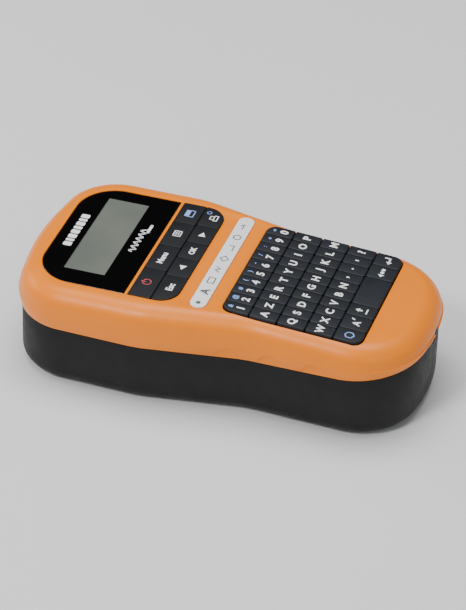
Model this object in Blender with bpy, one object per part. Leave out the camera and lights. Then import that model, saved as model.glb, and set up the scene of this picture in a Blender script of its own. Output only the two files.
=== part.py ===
"""Hand-held label maker: shells, keys, display, tape drive, cutter, cassette and cells.

All sizes are millimetres; MM turns them into metres where a mesh is made.
X runs left to right as the keys are read, +Y to the display end, +Z up out of the key face.
"""

import math

import bmesh
import bpy
from mathutils import Matrix, Vector

MM = 0.001

# Body
BODY_LENGTH = 208.0
BODY_HEIGHT = 55.0
HEAD_WIDTH = 109.0
WAIST_WIDTH = 89.0
FOOT_WIDTH = 91.0
HEAD_CORNER = 29.0
FOOT_CORNER = 34.0
END_BOW = 8.0
FOOT_END_RADIUS = 96.0
HEAD_END_RADIUS = 128.0
SIDE_BEND_RADIUS = 60.0
WALL = 2.0
PARTING = 32.8
PARTING_RISE = 5.5
TOP_FILLET = 10.0
BOTTOM_FILLET = 8.0
SKIRT_DRAFT = 0.6
SKIRT_WIDEST = 41.0
SKIRT_TUCK = 1.2
SEAM_STEP = 0.4
HEAD_SLOPE = 0.0265
FOOT_SLOPE = 0.042
CROWN_BLEND = 12.0
CROWN_Y = 6.4
GAP = 0.3

# Face openings
KEY_COLUMNS = 10
KEY_ROWS = 5
KEY_PITCH_X = 7.45
KEY_PITCH_Y = 14.1
KEY_SPLIT = 0.5
KEY_MARGIN = 0.4
KEY_PROUD = 1.0
KEY_DEPTH = 4.2
KEY_CORNER = 5.0
KEY_TRAVEL = 0.8
KEYS_TOP_Y = -5.8
BOTTOM_KEY_EDGES = (0.0, 1.3, 2.8, 4.05, 7.15, 8.6, 10.0)
PANEL_HALF = 41.5
PANEL_SPLIT_Y = 41.4
PANEL_SPLIT = 1.4
PAD_DEPTH_Y = 24.0
PAD_CORNER = 10.5
PAD_SPLIT = 0.35
PAD_PROUD = 0.4
PAD_ROWS = ((0.0, 0.29, 0.54, 0.79, 1.0), (0.0, 0.26, 0.45, 0.62, 0.80, 1.0))
WINDOW_LENGTH = 49.0
WINDOW_CORNER = 20.0
LENS_THICK = 1.2
LENS_LEDGE = 2.5
LCD_WIDTH = 63.4
LCD_LENGTH = 21.4
LCD_X = 1.6
LCD_Y = 67.3
LCD_THICK = 2.6
LCD_BEZEL = 2.5
STRIP_HALF = 40.0
STRIP_Y = 6.0
STRIP_LENGTH = 8.8
STRIP_THICK = 0.8

# Circuit board
BOARD_TOP = 45.6
BOARD_THICK = 1.6
BOARD_HALF = 36.0
BOARD_OVERHANG = 7.0
POST_RADIUS = 2.2
MAT_THICK = 0.8

# Tray, cassette and cells
TRAY_HALF = 33.6
TRAY_CORNER = 4.5
TRAY_WALL = 1.5
TRAY_BASE = 2.3
TRAY_TOP = 23.5
CELL_COUNT = 6
CELL_RADIUS = 5.1
CELL_LENGTH = 43.5
CELL_PITCH = 10.6
CELLS_END_Y = -81.5
CONTACT_THICK = 0.4
CASSETTE_WIDTH = 49.0
CASSETTE_LENGTH = 82.0
CASSETTE_HEIGHT = 17.0
CASSETTE_LEFT = -30.0
CASSETTE_WALL = 1.2
CASSETTE_CORNER = 3.0
SPOOL_HEIGHT = CASSETTE_HEIGHT - 5.0
TAPE_ROLL_X = -13.0
TAPE_ROLL_FROM_FOOT = 17.0
TAPE_ROLL_RADIUS = 15.5
TAPE_ROLL_BORE = 4.0
RIBBON_ROLL_X = -15.0
RIBBON_ROLL_FROM_FOOT = 60.0
RIBBON_ROLL_RADIUS = 10.5
RIBBON_ROLL_BORE = 3.5
TAPE_END_Y = 64.5

# Drive
GEAR_MODULE = 0.8
GEAR_THICK = 3.6
PINION_TEETH = 12
IDLER_TEETH = 30
PLATEN_TEETH = 18
TAKE_UP_TEETH = 20
LINK_TEETH = 24
SHAFT_RADIUS = 1.5
SHAFT_PLAY = 0.25
MOTOR_RADIUS = 6.2
MOTOR_LENGTH = 18.0
MOTOR_X = 42.6
MOTOR_Y = 38.0
PLATEN_X = 23.0
PLATEN_Y = 20.0
PLATEN_RADIUS = 3.6
TAKE_UP_X = 8.0
TAKE_UP_Y = -2.0
TAKE_UP_RADIUS = 7.5
TAKE_UP_OPENING = 4.6

# Back, cutter and jack
COVER_HALF = 31.0
COVER_FOOT_Y = -83.0
COVER_HEAD_Y = 60.0
COVER_CORNER = 6.0
COVER_THICK = 1.6
COVER_RECESS = 0.4
TAB_WIDTH = 14.0
TAB_REACH = 3.0
CUTTER_X = HEAD_WIDTH / 2 - 14.5
CUTTER_Y = BODY_LENGTH / 2 - 41.5
CUTTER_LOW_Z = 8.0
CUTTER_HIGH_Z = 22.0
CUTTER_FROM_Y = CUTTER_Y + 8.0
CUTTER_TO_Y = CUTTER_Y + 33.0
BLADE_Y = CUTTER_Y + 26.0
TAPE_SLOT = 5.0
TAPE_LOW_Z = 4.5
TAPE_HIGH_Z = 19.5
JACK_X = 2.0
JACK_Z = 37.0
JACK_RADIUS = 3.4
SCREW_RADIUS = 2.6
SCREW_LENGTH = 5.0
SCREW_PLACES = (
    (-37.0, -BODY_LENGTH / 2 + 38),
    (37.0, -BODY_LENGTH / 2 + 38),
    (-44.0, BODY_LENGTH / 2 - 30),
    (36.0, BODY_LENGTH / 2 - 26),
)

COLOURS = {
    "orange_plastic": ((0.90, 0.36, 0.05), 0.38, 0.0),
    "black_plastic": ((0.018, 0.018, 0.020), 0.45, 0.0),
    "window_black": ((0.006, 0.006, 0.007), 0.06, 0.0),
    "key_slate": ((0.030, 0.034, 0.042), 0.55, 0.0),
    "pad_charcoal": ((0.016, 0.017, 0.020), 0.60, 0.0),
    "strip_white": ((0.82, 0.82, 0.80), 0.45, 0.0),
    "lcd_grey": ((0.30, 0.33, 0.29), 0.20, 0.0),
    "board_green": ((0.02, 0.12, 0.05), 0.50, 0.0),
    "silicone_grey": ((0.35, 0.35, 0.36), 0.70, 0.0),
    "tray_black": ((0.030, 0.030, 0.032), 0.55, 0.0),
    "cassette_grey": ((0.18, 0.19, 0.20), 0.50, 0.0),
    "tape_white": ((0.85, 0.85, 0.83), 0.40, 0.0),
    "ribbon_black": ((0.010, 0.010, 0.012), 0.30, 0.0),
    "gear_white": ((0.78, 0.77, 0.72), 0.45, 0.0),
    "rubber_black": ((0.020, 0.020, 0.020), 0.85, 0.0),
    "steel": ((0.55, 0.56, 0.58), 0.30, 1.0),
    "cell_green": ((0.05, 0.30, 0.16), 0.35, 0.2),
    "lever_orange": ((0.88, 0.33, 0.05), 0.42, 0.0),
}


def clear_scene():
    for obj in list(bpy.data.objects):
        bpy.data.objects.remove(obj, do_unlink=True)


def material(name):
    made = bpy.data.materials.get(name)
    if made:
        return made
    colour, roughness, metallic = COLOURS[name]
    made = bpy.data.materials.new(name)
    made.use_nodes = True
    shader = made.node_tree.nodes["Principled BSDF"]
    shader.inputs["Base Color"].default_value = (*colour, 1.0)
    shader.inputs["Roughness"].default_value = roughness
    shader.inputs["Metallic"].default_value = metallic
    made.diffuse_color = (*colour, 1.0)
    return made


def finish_object(name, mesh_builder, finish, cutter=False):
    """Turns a bmesh in millimetres into an object in metres."""
    bmesh.ops.recalc_face_normals(mesh_builder, faces=mesh_builder.faces)
    bmesh.ops.scale(mesh_builder, vec=(MM, MM, MM), verts=mesh_builder.verts)
    mesh = bpy.data.meshes.new(name)
    mesh_builder.to_mesh(mesh)
    mesh_builder.free()
    obj = bpy.data.objects.new(name, mesh)
    bpy.context.scene.collection.objects.link(obj)
    if cutter:
        obj.hide_render = True
        obj.display_type = "WIRE"
    else:
        mesh.materials.append(material(finish))
    return obj


def boolean(obj, tool, operation="DIFFERENCE"):
    modifier = obj.modifiers.new(tool.name, "BOOLEAN")
    modifier.operation = operation
    modifier.solver = "EXACT"
    modifier.object = tool


def place(obj, x, y, z, tilt=0.0):
    obj.location = (x * MM, y * MM, z * MM)
    obj.rotation_euler = (tilt, 0.0, 0.0)
    return obj


# Plan outlines


def corner_arc(before, corner, after, radius, steps):
    """Points of the arc that rounds one corner of an outline, as (x, y)."""
    point = Vector(corner)
    to_before = (Vector(before) - point).normalized()
    to_after = (Vector(after) - point).normalized()
    half = to_before.angle(to_after) / 2
    centre = point + (to_before + to_after).normalized() * (radius / math.sin(half))
    start = point + to_before * (radius / math.tan(half)) - centre
    end = point + to_after * (radius / math.tan(half)) - centre
    first = math.atan2(start.y, start.x)
    turn = (math.atan2(end.y, end.x) - first + math.pi) % (2 * math.pi) - math.pi
    angles = [first + turn * step / steps for step in range(steps + 1)]
    return [
        (centre.x + radius * math.cos(a), centre.y + radius * math.sin(a)) for a in angles
    ]


def rounded_outline(corners, steps=6):
    """Closed outline through (x, y, radius) corners, in order; a radius of 0 stays sharp."""
    points = []
    for index, (x, y, radius) in enumerate(corners):
        if radius == 0:
            points.append((x, y))
            continue
        before = corners[index - 1][:2]
        after = corners[(index + 1) % len(corners)][:2]
        points += corner_arc(before, (x, y), after, radius, steps)
    return points


def rectangle(x0, x1, y0, y1, radius=0.0, steps=4):
    corners = [(x0, y0, radius), (x1, y0, radius), (x1, y1, radius), (x0, y1, radius)]
    return rounded_outline(corners, steps)


def circle(x, y, radius, steps):
    turns = [2 * math.pi * (step + 0.5) / steps for step in range(steps)]
    return [(x + radius * math.cos(a), y + radius * math.sin(a)) for a in turns]


def body_outline():
    """Whole plan outline, starting at the foot's middle and running up the +X side."""
    end = BODY_LENGTH / 2
    head, waist, foot = HEAD_WIDTH / 2, WAIST_WIDTH / 2, FOOT_WIDTH / 2
    corners = [
        (-foot, -end + END_BOW, FOOT_CORNER),
        (0.0, -end, FOOT_END_RADIUS),
        (foot, -end + END_BOW, FOOT_CORNER),
        (waist, -0.10 * BODY_LENGTH, SIDE_BEND_RADIUS),
        (head, 0.15 * BODY_LENGTH, SIDE_BEND_RADIUS),
        (head, end - END_BOW, HEAD_CORNER),
        (0.0, end, HEAD_END_RADIUS),
        (-head, end - END_BOW, HEAD_CORNER),
    ]
    steps = (0, 4, 7, 4, 4, 7, 4, 0)
    points = []
    for index in range(1, 7):
        x, y, radius = corners[index]
        before, after = corners[index - 1][:2], corners[index + 1][:2]
        arc = corner_arc(before, (x, y), after, radius, steps[index])
        if index == 1:
            arc = arc[steps[index] // 2 :]
        if index == 6:
            arc = arc[: steps[index] // 2 + 1]
        points += arc
    low, high = points[0][1], points[-1][1]
    stretch = BODY_LENGTH / (high - low)
    right = [(x, -end + (y - low) * stretch) for x, y in points]
    right[0] = (0.0, -end)
    right[-1] = (0.0, end)
    left = [(-x, y) for x, y in reversed(right[1:-1])]
    return right + left


def inset(outline, distance):
    """The outline moved inward by the distance; it runs anticlockwise."""
    moved = []
    count = len(outline)
    for index in range(count):
        here = Vector(outline[index])
        back = (here - Vector(outline[index - 1])).normalized()
        ahead = (Vector(outline[(index + 1) % count]) - here).normalized()
        along = (back + ahead).normalized()
        inward = Vector((-along.y, along.x))
        moved.append(tuple(here + inward * (distance / max(along.dot(ahead), 0.5))))
    return moved


def crown_slope(y):
    return HEAD_SLOPE if y > CROWN_Y else FOOT_SLOPE


def face_z(y):
    """Height of the crowned key face at this place along the body."""
    run = math.hypot(y - CROWN_Y, CROWN_BLEND) - CROWN_BLEND
    return BODY_HEIGHT - crown_slope(y) * run


def face_tilt(y):
    """Turn about X that lays a flat piece on the crowned face there."""
    slope = -crown_slope(y) * (y - CROWN_Y) / math.hypot(y - CROWN_Y, CROWN_BLEND)
    return math.atan(slope)


def parting_z(y):
    """Height of the line between the two shells, which rises towards the foot."""
    return PARTING + PARTING_RISE * max(0.0, -y / (BODY_LENGTH / 2)) ** 3


def skirt_z(y, share):
    """Height this share of the way from the parting line to the widest level."""
    return parting_z(y) + share * (SKIRT_WIDEST - parting_z(y))


# Solids


def add_ring(builder, points):
    return [builder.verts.new(point) for point in points]


def bridge(builder, first, second):
    count = len(first)
    for index in range(count):
        after = (index + 1) % count
        builder.faces.new((first[index], first[after], second[after], second[index]))


def ladder_cap(builder, ring):
    """Closes a symmetric ring with strips across, so that a crown keeps its shape."""
    count = len(ring)
    middle = count // 2
    builder.faces.new((ring[0], ring[1], ring[-1]))
    for index in range(1, middle - 1):
        builder.faces.new((ring[index], ring[index + 1], ring[-index - 1], ring[-index]))
    builder.faces.new((ring[middle - 1], ring[middle], ring[middle + 1]))


def prism(name, outline, low, high, finish="steel", cutter=False):
    """Upright solid of an outline."""
    builder = bmesh.new()
    bottom = add_ring(builder, [(x, y, low) for x, y in outline])
    top = add_ring(builder, [(x, y, high) for x, y in outline])
    bridge(builder, bottom, top)
    builder.faces.new(bottom)
    builder.faces.new(top)
    return finish_object(name, builder, finish, cutter)


def turned(name, profile, steps, finish, closed_profile=False):
    """Solid turned about Z from (radius, z) points; the ends lie on the axis unless closed."""
    builder = bmesh.new()
    rings = []
    for radius, z in profile:
        if radius == 0:
            rings.append([builder.verts.new((0, 0, z))])
        else:
            rings.append(add_ring(builder, [(x, y, z) for x, y in circle(0, 0, radius, steps)]))
    pairs = list(zip(rings, rings[1:]))
    if closed_profile:
        pairs.append((rings[-1], rings[0]))
    for first, second in pairs:
        if len(first) == 1 or len(second) == 1:
            tip, ring = (first[0], second) if len(first) == 1 else (second[0], first)
            for index in range(steps):
                builder.faces.new((tip, ring[index], ring[(index + 1) % steps]))
        else:
            bridge(builder, first, second)
    obj = finish_object(name, builder, finish)
    for face in obj.data.polygons:
        face.use_smooth = abs(face.normal.z) < 0.9
    return obj


def keycap(name, outline, depth, finish, edge=0.5):
    """Solid cap whose top edge is eased, standing with its top at z = 0."""
    builder = bmesh.new()
    levels = ((0.0, -depth), (0.0, -edge), (edge * 0.3, -edge * 0.3), (edge, 0.0))
    rings = []
    for distance, z in levels:
        ring = inset(outline, distance) if distance else outline
        rings.append(add_ring(builder, [(x, y, z) for x, y in ring]))
    for first, second in zip(rings, rings[1:]):
        bridge(builder, first, second)
    builder.faces.new(rings[0])
    builder.faces.new(rings[-1])
    return finish_object(name, builder, finish)


# Shells


def shell(name, outer_levels, inner_levels, finish):
    """Hollow shell from (inset, height function) levels that start at the open rim."""
    outline = body_outline()
    builder = bmesh.new()
    rims = []
    for levels in (outer_levels, inner_levels):
        rings = []
        for distance, height in levels:
            points = [(x, y, height(y)) for x, y in inset(outline, distance)]
            rings.append(add_ring(builder, points))
        for first, second in zip(rings, rings[1:]):
            bridge(builder, first, second)
        ladder_cap(builder, rings[-1])
        rims.append(rings[0])
    bridge(builder, rims[0], rims[1])
    return finish_object(name, builder, finish)


def fillet_levels(first_inset, radius, surface, steps=4):
    """Levels of a quarter round that ends on the surface, which lies above for +radius."""
    size = abs(radius)
    levels = []
    for step in range(steps + 1):
        turn = math.pi / 2 * step / steps
        distance = first_inset + size * (1 - math.cos(turn))
        drop = radius * (1 - math.sin(turn))
        levels.append((distance, lambda y, drop=drop: surface(y) - drop))
    return levels


def front_shell():
    rim = [(SKIRT_TUCK, parting_z)]
    rim += [(SKIRT_TUCK * (1 - t) ** 2, lambda y, t=t: skirt_z(y, t)) for t in (0.35, 0.7, 1.0)]
    outer = rim + fillet_levels(SKIRT_DRAFT, TOP_FILLET, face_z)
    inner_rim = [(SKIRT_TUCK + WALL, parting_z), (WALL, lambda y: skirt_z(y, 1.0))]
    inner = inner_rim + fillet_levels(
        SKIRT_DRAFT + WALL, TOP_FILLET - WALL, lambda y: face_z(y) - WALL, steps=3
    )
    obj = shell("front_shell", outer, inner, "orange_plastic")
    boolean(obj, key_opening())
    boolean(obj, pad_opening())
    boolean(obj, window_recess())
    boolean(obj, window_opening())
    boolean(obj, strip_recess())
    boolean(obj, jack_cut("jack_notch"))
    for index, (x, y) in enumerate(board_posts()):
        low, high = BOARD_TOP + GAP, face_z(y) - WALL / 2
        post = prism(f"board_post_{index}", circle(x, y, POST_RADIUS, 12), low, high, cutter=True)
        boolean(obj, post, "UNION")
    return obj


def rear_shell():
    lip = SKIRT_TUCK + SEAM_STEP
    rim = [(lip, lambda y: parting_z(y) - GAP)]
    outer = rim + fillet_levels(lip, -BOTTOM_FILLET, lambda y: 0.0)
    inner_rim = [(lip + WALL, lambda y: parting_z(y) - GAP)]
    inner = inner_rim + fillet_levels(
        lip + WALL, -(BOTTOM_FILLET - WALL), lambda y: WALL, steps=3
    )
    obj = shell("rear_shell", outer, inner, "black_plastic")
    boolean(obj, cover_opening())
    boolean(obj, lever_opening())
    boolean(obj, tape_slot_cut())
    boolean(obj, jack_cut("jack_hole"))
    for index, (x, y) in enumerate(SCREW_PLACES):
        tool = prism(
            f"screw_hole_{index}", circle(x, y, SCREW_RADIUS + GAP, 16), -1, WALL + 1, cutter=True
        )
        boolean(obj, tool)
    return obj


def keyboard_width():
    return KEY_COLUMNS * KEY_PITCH_X


def keyboard_foot_y():
    return KEYS_TOP_Y - KEY_ROWS * KEY_PITCH_Y


def key_opening():
    half = keyboard_width() / 2 + KEY_MARGIN
    outline = rectangle(
        -half, half, keyboard_foot_y() - KEY_MARGIN, KEYS_TOP_Y + KEY_MARGIN, KEY_CORNER
    )
    return prism("key_opening", outline, PARTING, BODY_HEIGHT + 5, cutter=True)


def pad_top_y():
    return PANEL_SPLIT_Y - PANEL_SPLIT / 2


def pad_outline(grow=0.0):
    half = PANEL_HALF + grow
    foot = pad_top_y() - PAD_DEPTH_Y - grow
    top = pad_top_y() + grow
    corners = [
        (-half, foot, PAD_CORNER),
        (half, foot, PAD_CORNER),
        (half, top, 0),
        (-half, top, 0),
    ]
    return rounded_outline(corners)


def pad_opening():
    return prism("pad_opening", pad_outline(), PARTING, BODY_HEIGHT + 5, cutter=True)


def window_outline(grow=0.0):
    half = PANEL_HALF + grow
    foot = PANEL_SPLIT_Y + PANEL_SPLIT / 2 - grow
    top = foot + WINDOW_LENGTH + 2 * grow
    corners = [
        (-half, foot, 0),
        (half, foot, 0),
        (half, top, WINDOW_CORNER + grow),
        (-half, top, WINDOW_CORNER + grow),
    ]
    return rounded_outline(corners)


def window_middle_y():
    return PANEL_SPLIT_Y + PANEL_SPLIT / 2 + WINDOW_LENGTH / 2


def on_window(obj, sink):
    """Lays a piece made about the window's middle on the tilted face, sunk below it."""
    y = window_middle_y()
    return place(obj, 0, y, face_z(y) - sink, face_tilt(y))


def about_window(outline):
    return [(x, y - window_middle_y()) for x, y in outline]


def window_recess():
    tool = prism("window_recess", about_window(window_outline()), -LENS_THICK - GAP, 6, cutter=True)
    return on_window(tool, 0)


def window_opening():
    tool = prism(
        "window_opening", about_window(window_outline(-LENS_LEDGE)), -8, 6, cutter=True
    )
    return on_window(tool, 0)


def strip_outline(grow=0.0):
    half, middle = STRIP_HALF + grow, STRIP_LENGTH / 2 + grow
    return rectangle(-half, half, -middle, middle, middle * 0.97)


def strip_recess():
    tool = prism("strip_recess", strip_outline(), -STRIP_THICK, 4, cutter=True)
    return place(tool, 0, STRIP_Y, face_z(STRIP_Y), face_tilt(STRIP_Y))


def jack_cut(name):
    """Round cutter along Y through the foot wall."""
    tool = prism(name, circle(0, 0, JACK_RADIUS + GAP, 20), -6, 14, cutter=True)
    tool.location = (JACK_X * MM, -BODY_LENGTH / 2 * MM, JACK_Z * MM)
    tool.rotation_euler = (-math.pi / 2, 0, 0)
    return tool


def cover_outline(grow=0.0):
    return rectangle(
        -COVER_HALF - grow,
        COVER_HALF + grow,
        COVER_FOOT_Y - grow,
        COVER_HEAD_Y + grow,
        COVER_CORNER + grow,
    )


def cover_tab(name, low, high, grow=0.0):
    """Snap tab on the cover's foot edge, or the notch that it drops into."""
    half = TAB_WIDTH / 2 + grow
    outline = rectangle(-half, half, COVER_FOOT_Y - TAB_REACH - grow, COVER_FOOT_Y + 2, 0.8)
    return prism(name, outline, low, high, cutter=True)


def cover_opening():
    tool = prism("cover_opening", cover_outline(GAP), -1, WALL + 0.5, cutter=True)
    boolean(tool, cover_tab("tab_notch", -1, WALL + 0.5, GAP), "UNION")
    return tool


def outline_band(from_y, to_y, outer, inner):
    """Plan strip that follows the +X side of the body between two places along it."""
    outline = body_outline()
    middle = len(outline) // 2

    def edge(distance):
        side = inset(outline, distance)[1:middle]
        kept = [point for point in side if from_y < point[1] < to_y]
        for y in (from_y, to_y):
            for first, second in zip(side, side[1:]):
                if (first[1] - y) * (second[1] - y) <= 0 and first[1] != second[1]:
                    share = (y - first[1]) / (second[1] - first[1])
                    kept.append((first[0] + share * (second[0] - first[0]), y))
                    break
        return sorted(kept, key=lambda point: point[1])

    return edge(outer) + edge(inner)[::-1]


def lever_opening():
    outline = outline_band(CUTTER_FROM_Y - GAP, CUTTER_TO_Y + GAP, -2, 5)
    return prism("lever_opening", outline, CUTTER_LOW_Z - GAP, CUTTER_HIGH_Z + GAP, cutter=True)


def tape_x():
    """Plane in which the tape leaves the cassette and the body."""
    return CASSETTE_LEFT + CASSETTE_WIDTH


def tape_slot_cut():
    x = tape_x()
    outline = rectangle(x - TAPE_SLOT / 2, x + TAPE_SLOT / 2, BODY_LENGTH / 2 - 15, BODY_LENGTH / 2 + 5)
    return prism("tape_slot", outline, TAPE_LOW_Z, TAPE_HIGH_Z, cutter=True)


# Face pieces


def display_lens():
    obj = prism("display_lens", about_window(window_outline(-GAP)), -LENS_THICK, 0, "window_black")
    return on_window(obj, 0.1)


def lcd_module():
    half_x, half_y = LCD_WIDTH / 2 + LCD_BEZEL, LCD_LENGTH / 2 + LCD_BEZEL
    outline = rectangle(-half_x, half_x, -half_y, half_y, 1)
    obj = prism("lcd_module", outline, -LCD_THICK, 0, "lcd_grey")
    sink = LENS_THICK + 2 * GAP
    return place(obj, LCD_X, LCD_Y, face_z(LCD_Y) - sink, face_tilt(window_middle_y()))


def legend_strip():
    obj = prism("legend_strip", strip_outline(-GAP), -STRIP_THICK + 0.2, 0.05, "strip_white")
    return place(obj, 0, STRIP_Y, face_z(STRIP_Y), face_tilt(STRIP_Y))


def cell_outline(x0, x1, y0, y1, frame, corner):
    """Outline of one cell of a pad; corners shared with the frame are rounded as it is."""
    left, right, foot, top, round_top = frame
    close = 0.01
    small = 0.5

    def radius(x, y):
        at_side = abs(x - left) < close or abs(x - right) < close
        at_end = abs(y - foot) < close or (round_top and abs(y - top) < close)
        return corner if at_side and at_end else small

    corners = [(x0, y0), (x1, y0), (x1, y1), (x0, y1)]
    return rounded_outline([(x, y, radius(x, y)) for x, y in corners], steps=3)


def letter_key_row(row):
    """One row of letter keys on its rubber web."""
    half = keyboard_width() / 2
    top = KEYS_TOP_Y - row * KEY_PITCH_Y
    y = top - KEY_PITCH_Y / 2
    split = KEY_SPLIT / 2
    reach = KEY_PITCH_Y / 2 - split
    frame = (-half + split, half - split, -reach - 1, reach, row == 0)
    web_top = -KEY_PROUD - 1.2
    name = f"key_row_{row + 1}"
    web = [(-half + split, -reach + 1), (half - split, -reach + 1), (half - split, reach - 1)]
    web.append((-half + split, reach - 1))
    if row == 0:
        web = rounded_outline([(x, y0, KEY_CORNER - 1 if y0 > 0 else 0) for x, y0 in web], steps=3)
    obj = prism(name, web, -KEY_DEPTH, web_top, "key_slate")
    place(obj, 0, y, face_z(y) + KEY_PROUD, face_tilt(y))
    for column in range(KEY_COLUMNS):
        x0 = -half + column * KEY_PITCH_X + split
        x1 = x0 + KEY_PITCH_X - KEY_SPLIT
        outline = cell_outline(x0, x1, -reach, reach, frame, KEY_CORNER - split)
        cap = keycap(f"{name}_cap_{column}", outline, -web_top + 0.6, "key_slate")
        cap.hide_render = True
        cap.display_type = "WIRE"
        place(cap, 0, y, face_z(y) + KEY_PROUD, face_tilt(y))
        boolean(obj, cap, "UNION")
    return obj


def bottom_keys():
    """Function keys and the space bar in the row nearest the foot."""
    names = ("key_symbol", "key_accent", "key_shift", "key_space", "key_erase", "key_enter")
    half = keyboard_width() / 2
    y = keyboard_foot_y() + KEY_PITCH_Y / 2
    split = KEY_SPLIT / 2
    reach = KEY_PITCH_Y / 2 - split
    frame = (-half + split, half - split, -reach, reach, False)
    for index, name in enumerate(names):
        x0 = -half + BOTTOM_KEY_EDGES[index] * KEY_PITCH_X + split
        x1 = -half + BOTTOM_KEY_EDGES[index + 1] * KEY_PITCH_X - split
        outline = cell_outline(x0, x1, -reach, reach, frame, KEY_CORNER - split)
        middle = (x0 + x1) / 2
        outline = [(px - middle, py) for px, py in outline]
        obj = keycap(name, outline, KEY_DEPTH, "key_slate")
        place(obj, middle, y, face_z(y) + KEY_PROUD, face_tilt(y))


def function_keys():
    """Two rows of rubber keys below the window."""
    names = (
        ("key_power", "key_menu", "key_template", "key_label"),
        ("key_escape", "key_left", "key_ok", "key_right", "key_print"),
    )
    left, right = -PANEL_HALF, PANEL_HALF
    row_height = PAD_DEPTH_Y / 2
    split = PAD_SPLIT / 2
    reach = row_height / 2 - PAD_SPLIT
    for row, shares in enumerate(PAD_ROWS):
        y = pad_top_y() - (row + 0.5) * row_height
        foot = -reach if row else -reach - 1
        frame = (left + PAD_SPLIT, right - PAD_SPLIT, foot, reach, False)
        for index, name in enumerate(names[row]):
            x0 = left + shares[index] * 2 * PANEL_HALF + split
            x1 = left + shares[index + 1] * 2 * PANEL_HALF - split
            x0 = max(x0, left + PAD_SPLIT)
            x1 = min(x1, right - PAD_SPLIT)
            corner = min(PAD_CORNER - PAD_SPLIT, 2 * reach - 1)
            outline = cell_outline(x0, x1, -reach, reach, frame, corner)
            middle = (x0 + x1) / 2
            outline = [(px - middle, py) for px, py in outline]
            obj = keycap(name, outline, KEY_DEPTH - KEY_PROUD + PAD_PROUD, "pad_charcoal", 0.4)
            place(obj, middle, y, face_z(y) + PAD_PROUD, face_tilt(y))


# Electronics


def board_ends():
    window_top = window_middle_y() + WINDOW_LENGTH / 2
    return keyboard_foot_y() - BOARD_OVERHANG, window_top + 0.6 * BOARD_OVERHANG


def board_posts():
    """Posts under the face that the board is fixed to, clear of every opening."""
    foot, head = board_ends()
    x = BOARD_HALF - 12
    middle = (KEYS_TOP_Y + pad_top_y() - PAD_DEPTH_Y) / 2
    return [(side * x, y) for side in (-1, 1) for y in (foot + POST_RADIUS, middle, head - 0.5)]


def circuit_board():
    foot, head = board_ends()
    outline = rectangle(-BOARD_HALF, BOARD_HALF, foot, head, 8)
    return prism("circuit_board", outline, BOARD_TOP - BOARD_THICK, BOARD_TOP, "board_green")


def keypad_mat():
    """Silicone sheet of domes that lies on the board under all the keys."""
    low = BOARD_TOP + GAP
    half = BOARD_HALF - 1
    outline = rectangle(-half, half, keyboard_foot_y() + 1, pad_top_y() - 1, 3)
    obj = prism("keypad_mat", outline, low, low + MAT_THICK, "silicone_grey")
    for index, (x, y) in enumerate(board_posts()):
        reach = POST_RADIUS + GAP
        boolean(obj, prism(f"mat_hole_{index}", circle(x, y, reach, 12), low - 1, low + 2, cutter=True))
    return obj


def dc_jack():
    """Barrel socket behind the foot wall, with its mouth at the wall and a centre pin."""
    radius = JACK_RADIUS
    profile = (
        (0.0, 12.0),
        (radius, 12.0),
        (radius, 0.0),
        (radius - 0.7, 0.0),
        (radius - 0.7, 9.0),
        (0.9, 9.0),
        (0.9, 1.5),
        (0.0, 1.0),
    )
    obj = turned("dc_jack", profile, 20, "black_plastic")
    mouth = -BODY_LENGTH / 2 + SKIRT_TUCK + SEAM_STEP + 0.5
    return place(obj, JACK_X, mouth, JACK_Z, -math.pi / 2)


# Tray, cells and cassette


def cells_head_y():
    return CELLS_END_Y + CELL_LENGTH + 2 * CONTACT_THICK + 4 * GAP


def cassette_foot_y():
    return cells_head_y() + TRAY_WALL + GAP


def cassette_head_y():
    return cassette_foot_y() + CASSETTE_LENGTH


def gear_low():
    return TRAY_TOP + 0.8


def tray():
    """Inner frame that holds the cells, the cassette and the drive."""
    foot = CELLS_END_Y - CONTACT_THICK - GAP - TRAY_WALL
    obj = prism(
        "drive_tray",
        rectangle(-TRAY_HALF, TRAY_HALF, foot - GAP, TAPE_END_Y + TRAY_WALL, TRAY_CORNER),
        TRAY_BASE,
        TRAY_TOP,
        "tray_black",
    )
    inner = TRAY_HALF - TRAY_WALL
    ceiling = TRAY_TOP - TRAY_WALL
    cell_bay = rectangle(-inner, inner, foot + TRAY_WALL - GAP, cells_head_y(), 2)
    boolean(obj, prism("cell_bay", cell_bay, 0, ceiling, cutter=True))
    tape_bay = rectangle(-inner, inner, cells_head_y() + TRAY_WALL, TAPE_END_Y, 1.5)
    boolean(obj, prism("tape_bay", tape_bay, 0, ceiling, cutter=True))
    x = tape_x()
    slot = rectangle(x - TAPE_SLOT / 2, x + TAPE_SLOT / 2, TAPE_END_Y - 1, TAPE_END_Y + 3)
    boolean(obj, prism("tray_slot", slot, 0, TAPE_HIGH_Z, cutter=True))
    ear = rectangle(TRAY_HALF - 1, MOTOR_X + MOTOR_RADIUS, MOTOR_Y - 8, MOTOR_Y + 8, 0.8)
    boolean(obj, prism("motor_ear", ear, ceiling, TRAY_TOP, cutter=True), "UNION")
    ear_foot = min(CUTTER_Y - 4, TAPE_END_Y - 6)
    arm = rectangle(TRAY_HALF - 4, CUTTER_X + 3, ear_foot, CUTTER_Y + 4, 0.8)
    boolean(obj, prism("cutter_ear", arm, TRAY_BASE, CUTTER_LOW_Z - GAP, cutter=True), "UNION")
    for name, (cx, cy) in drive_centres().items():
        reach = SHAFT_RADIUS + SHAFT_PLAY
        tool = prism(f"hole_{name}", circle(cx, cy, reach, 16), 20, 26, cutter=True)
        boolean(obj, tool)
    return obj


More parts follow.
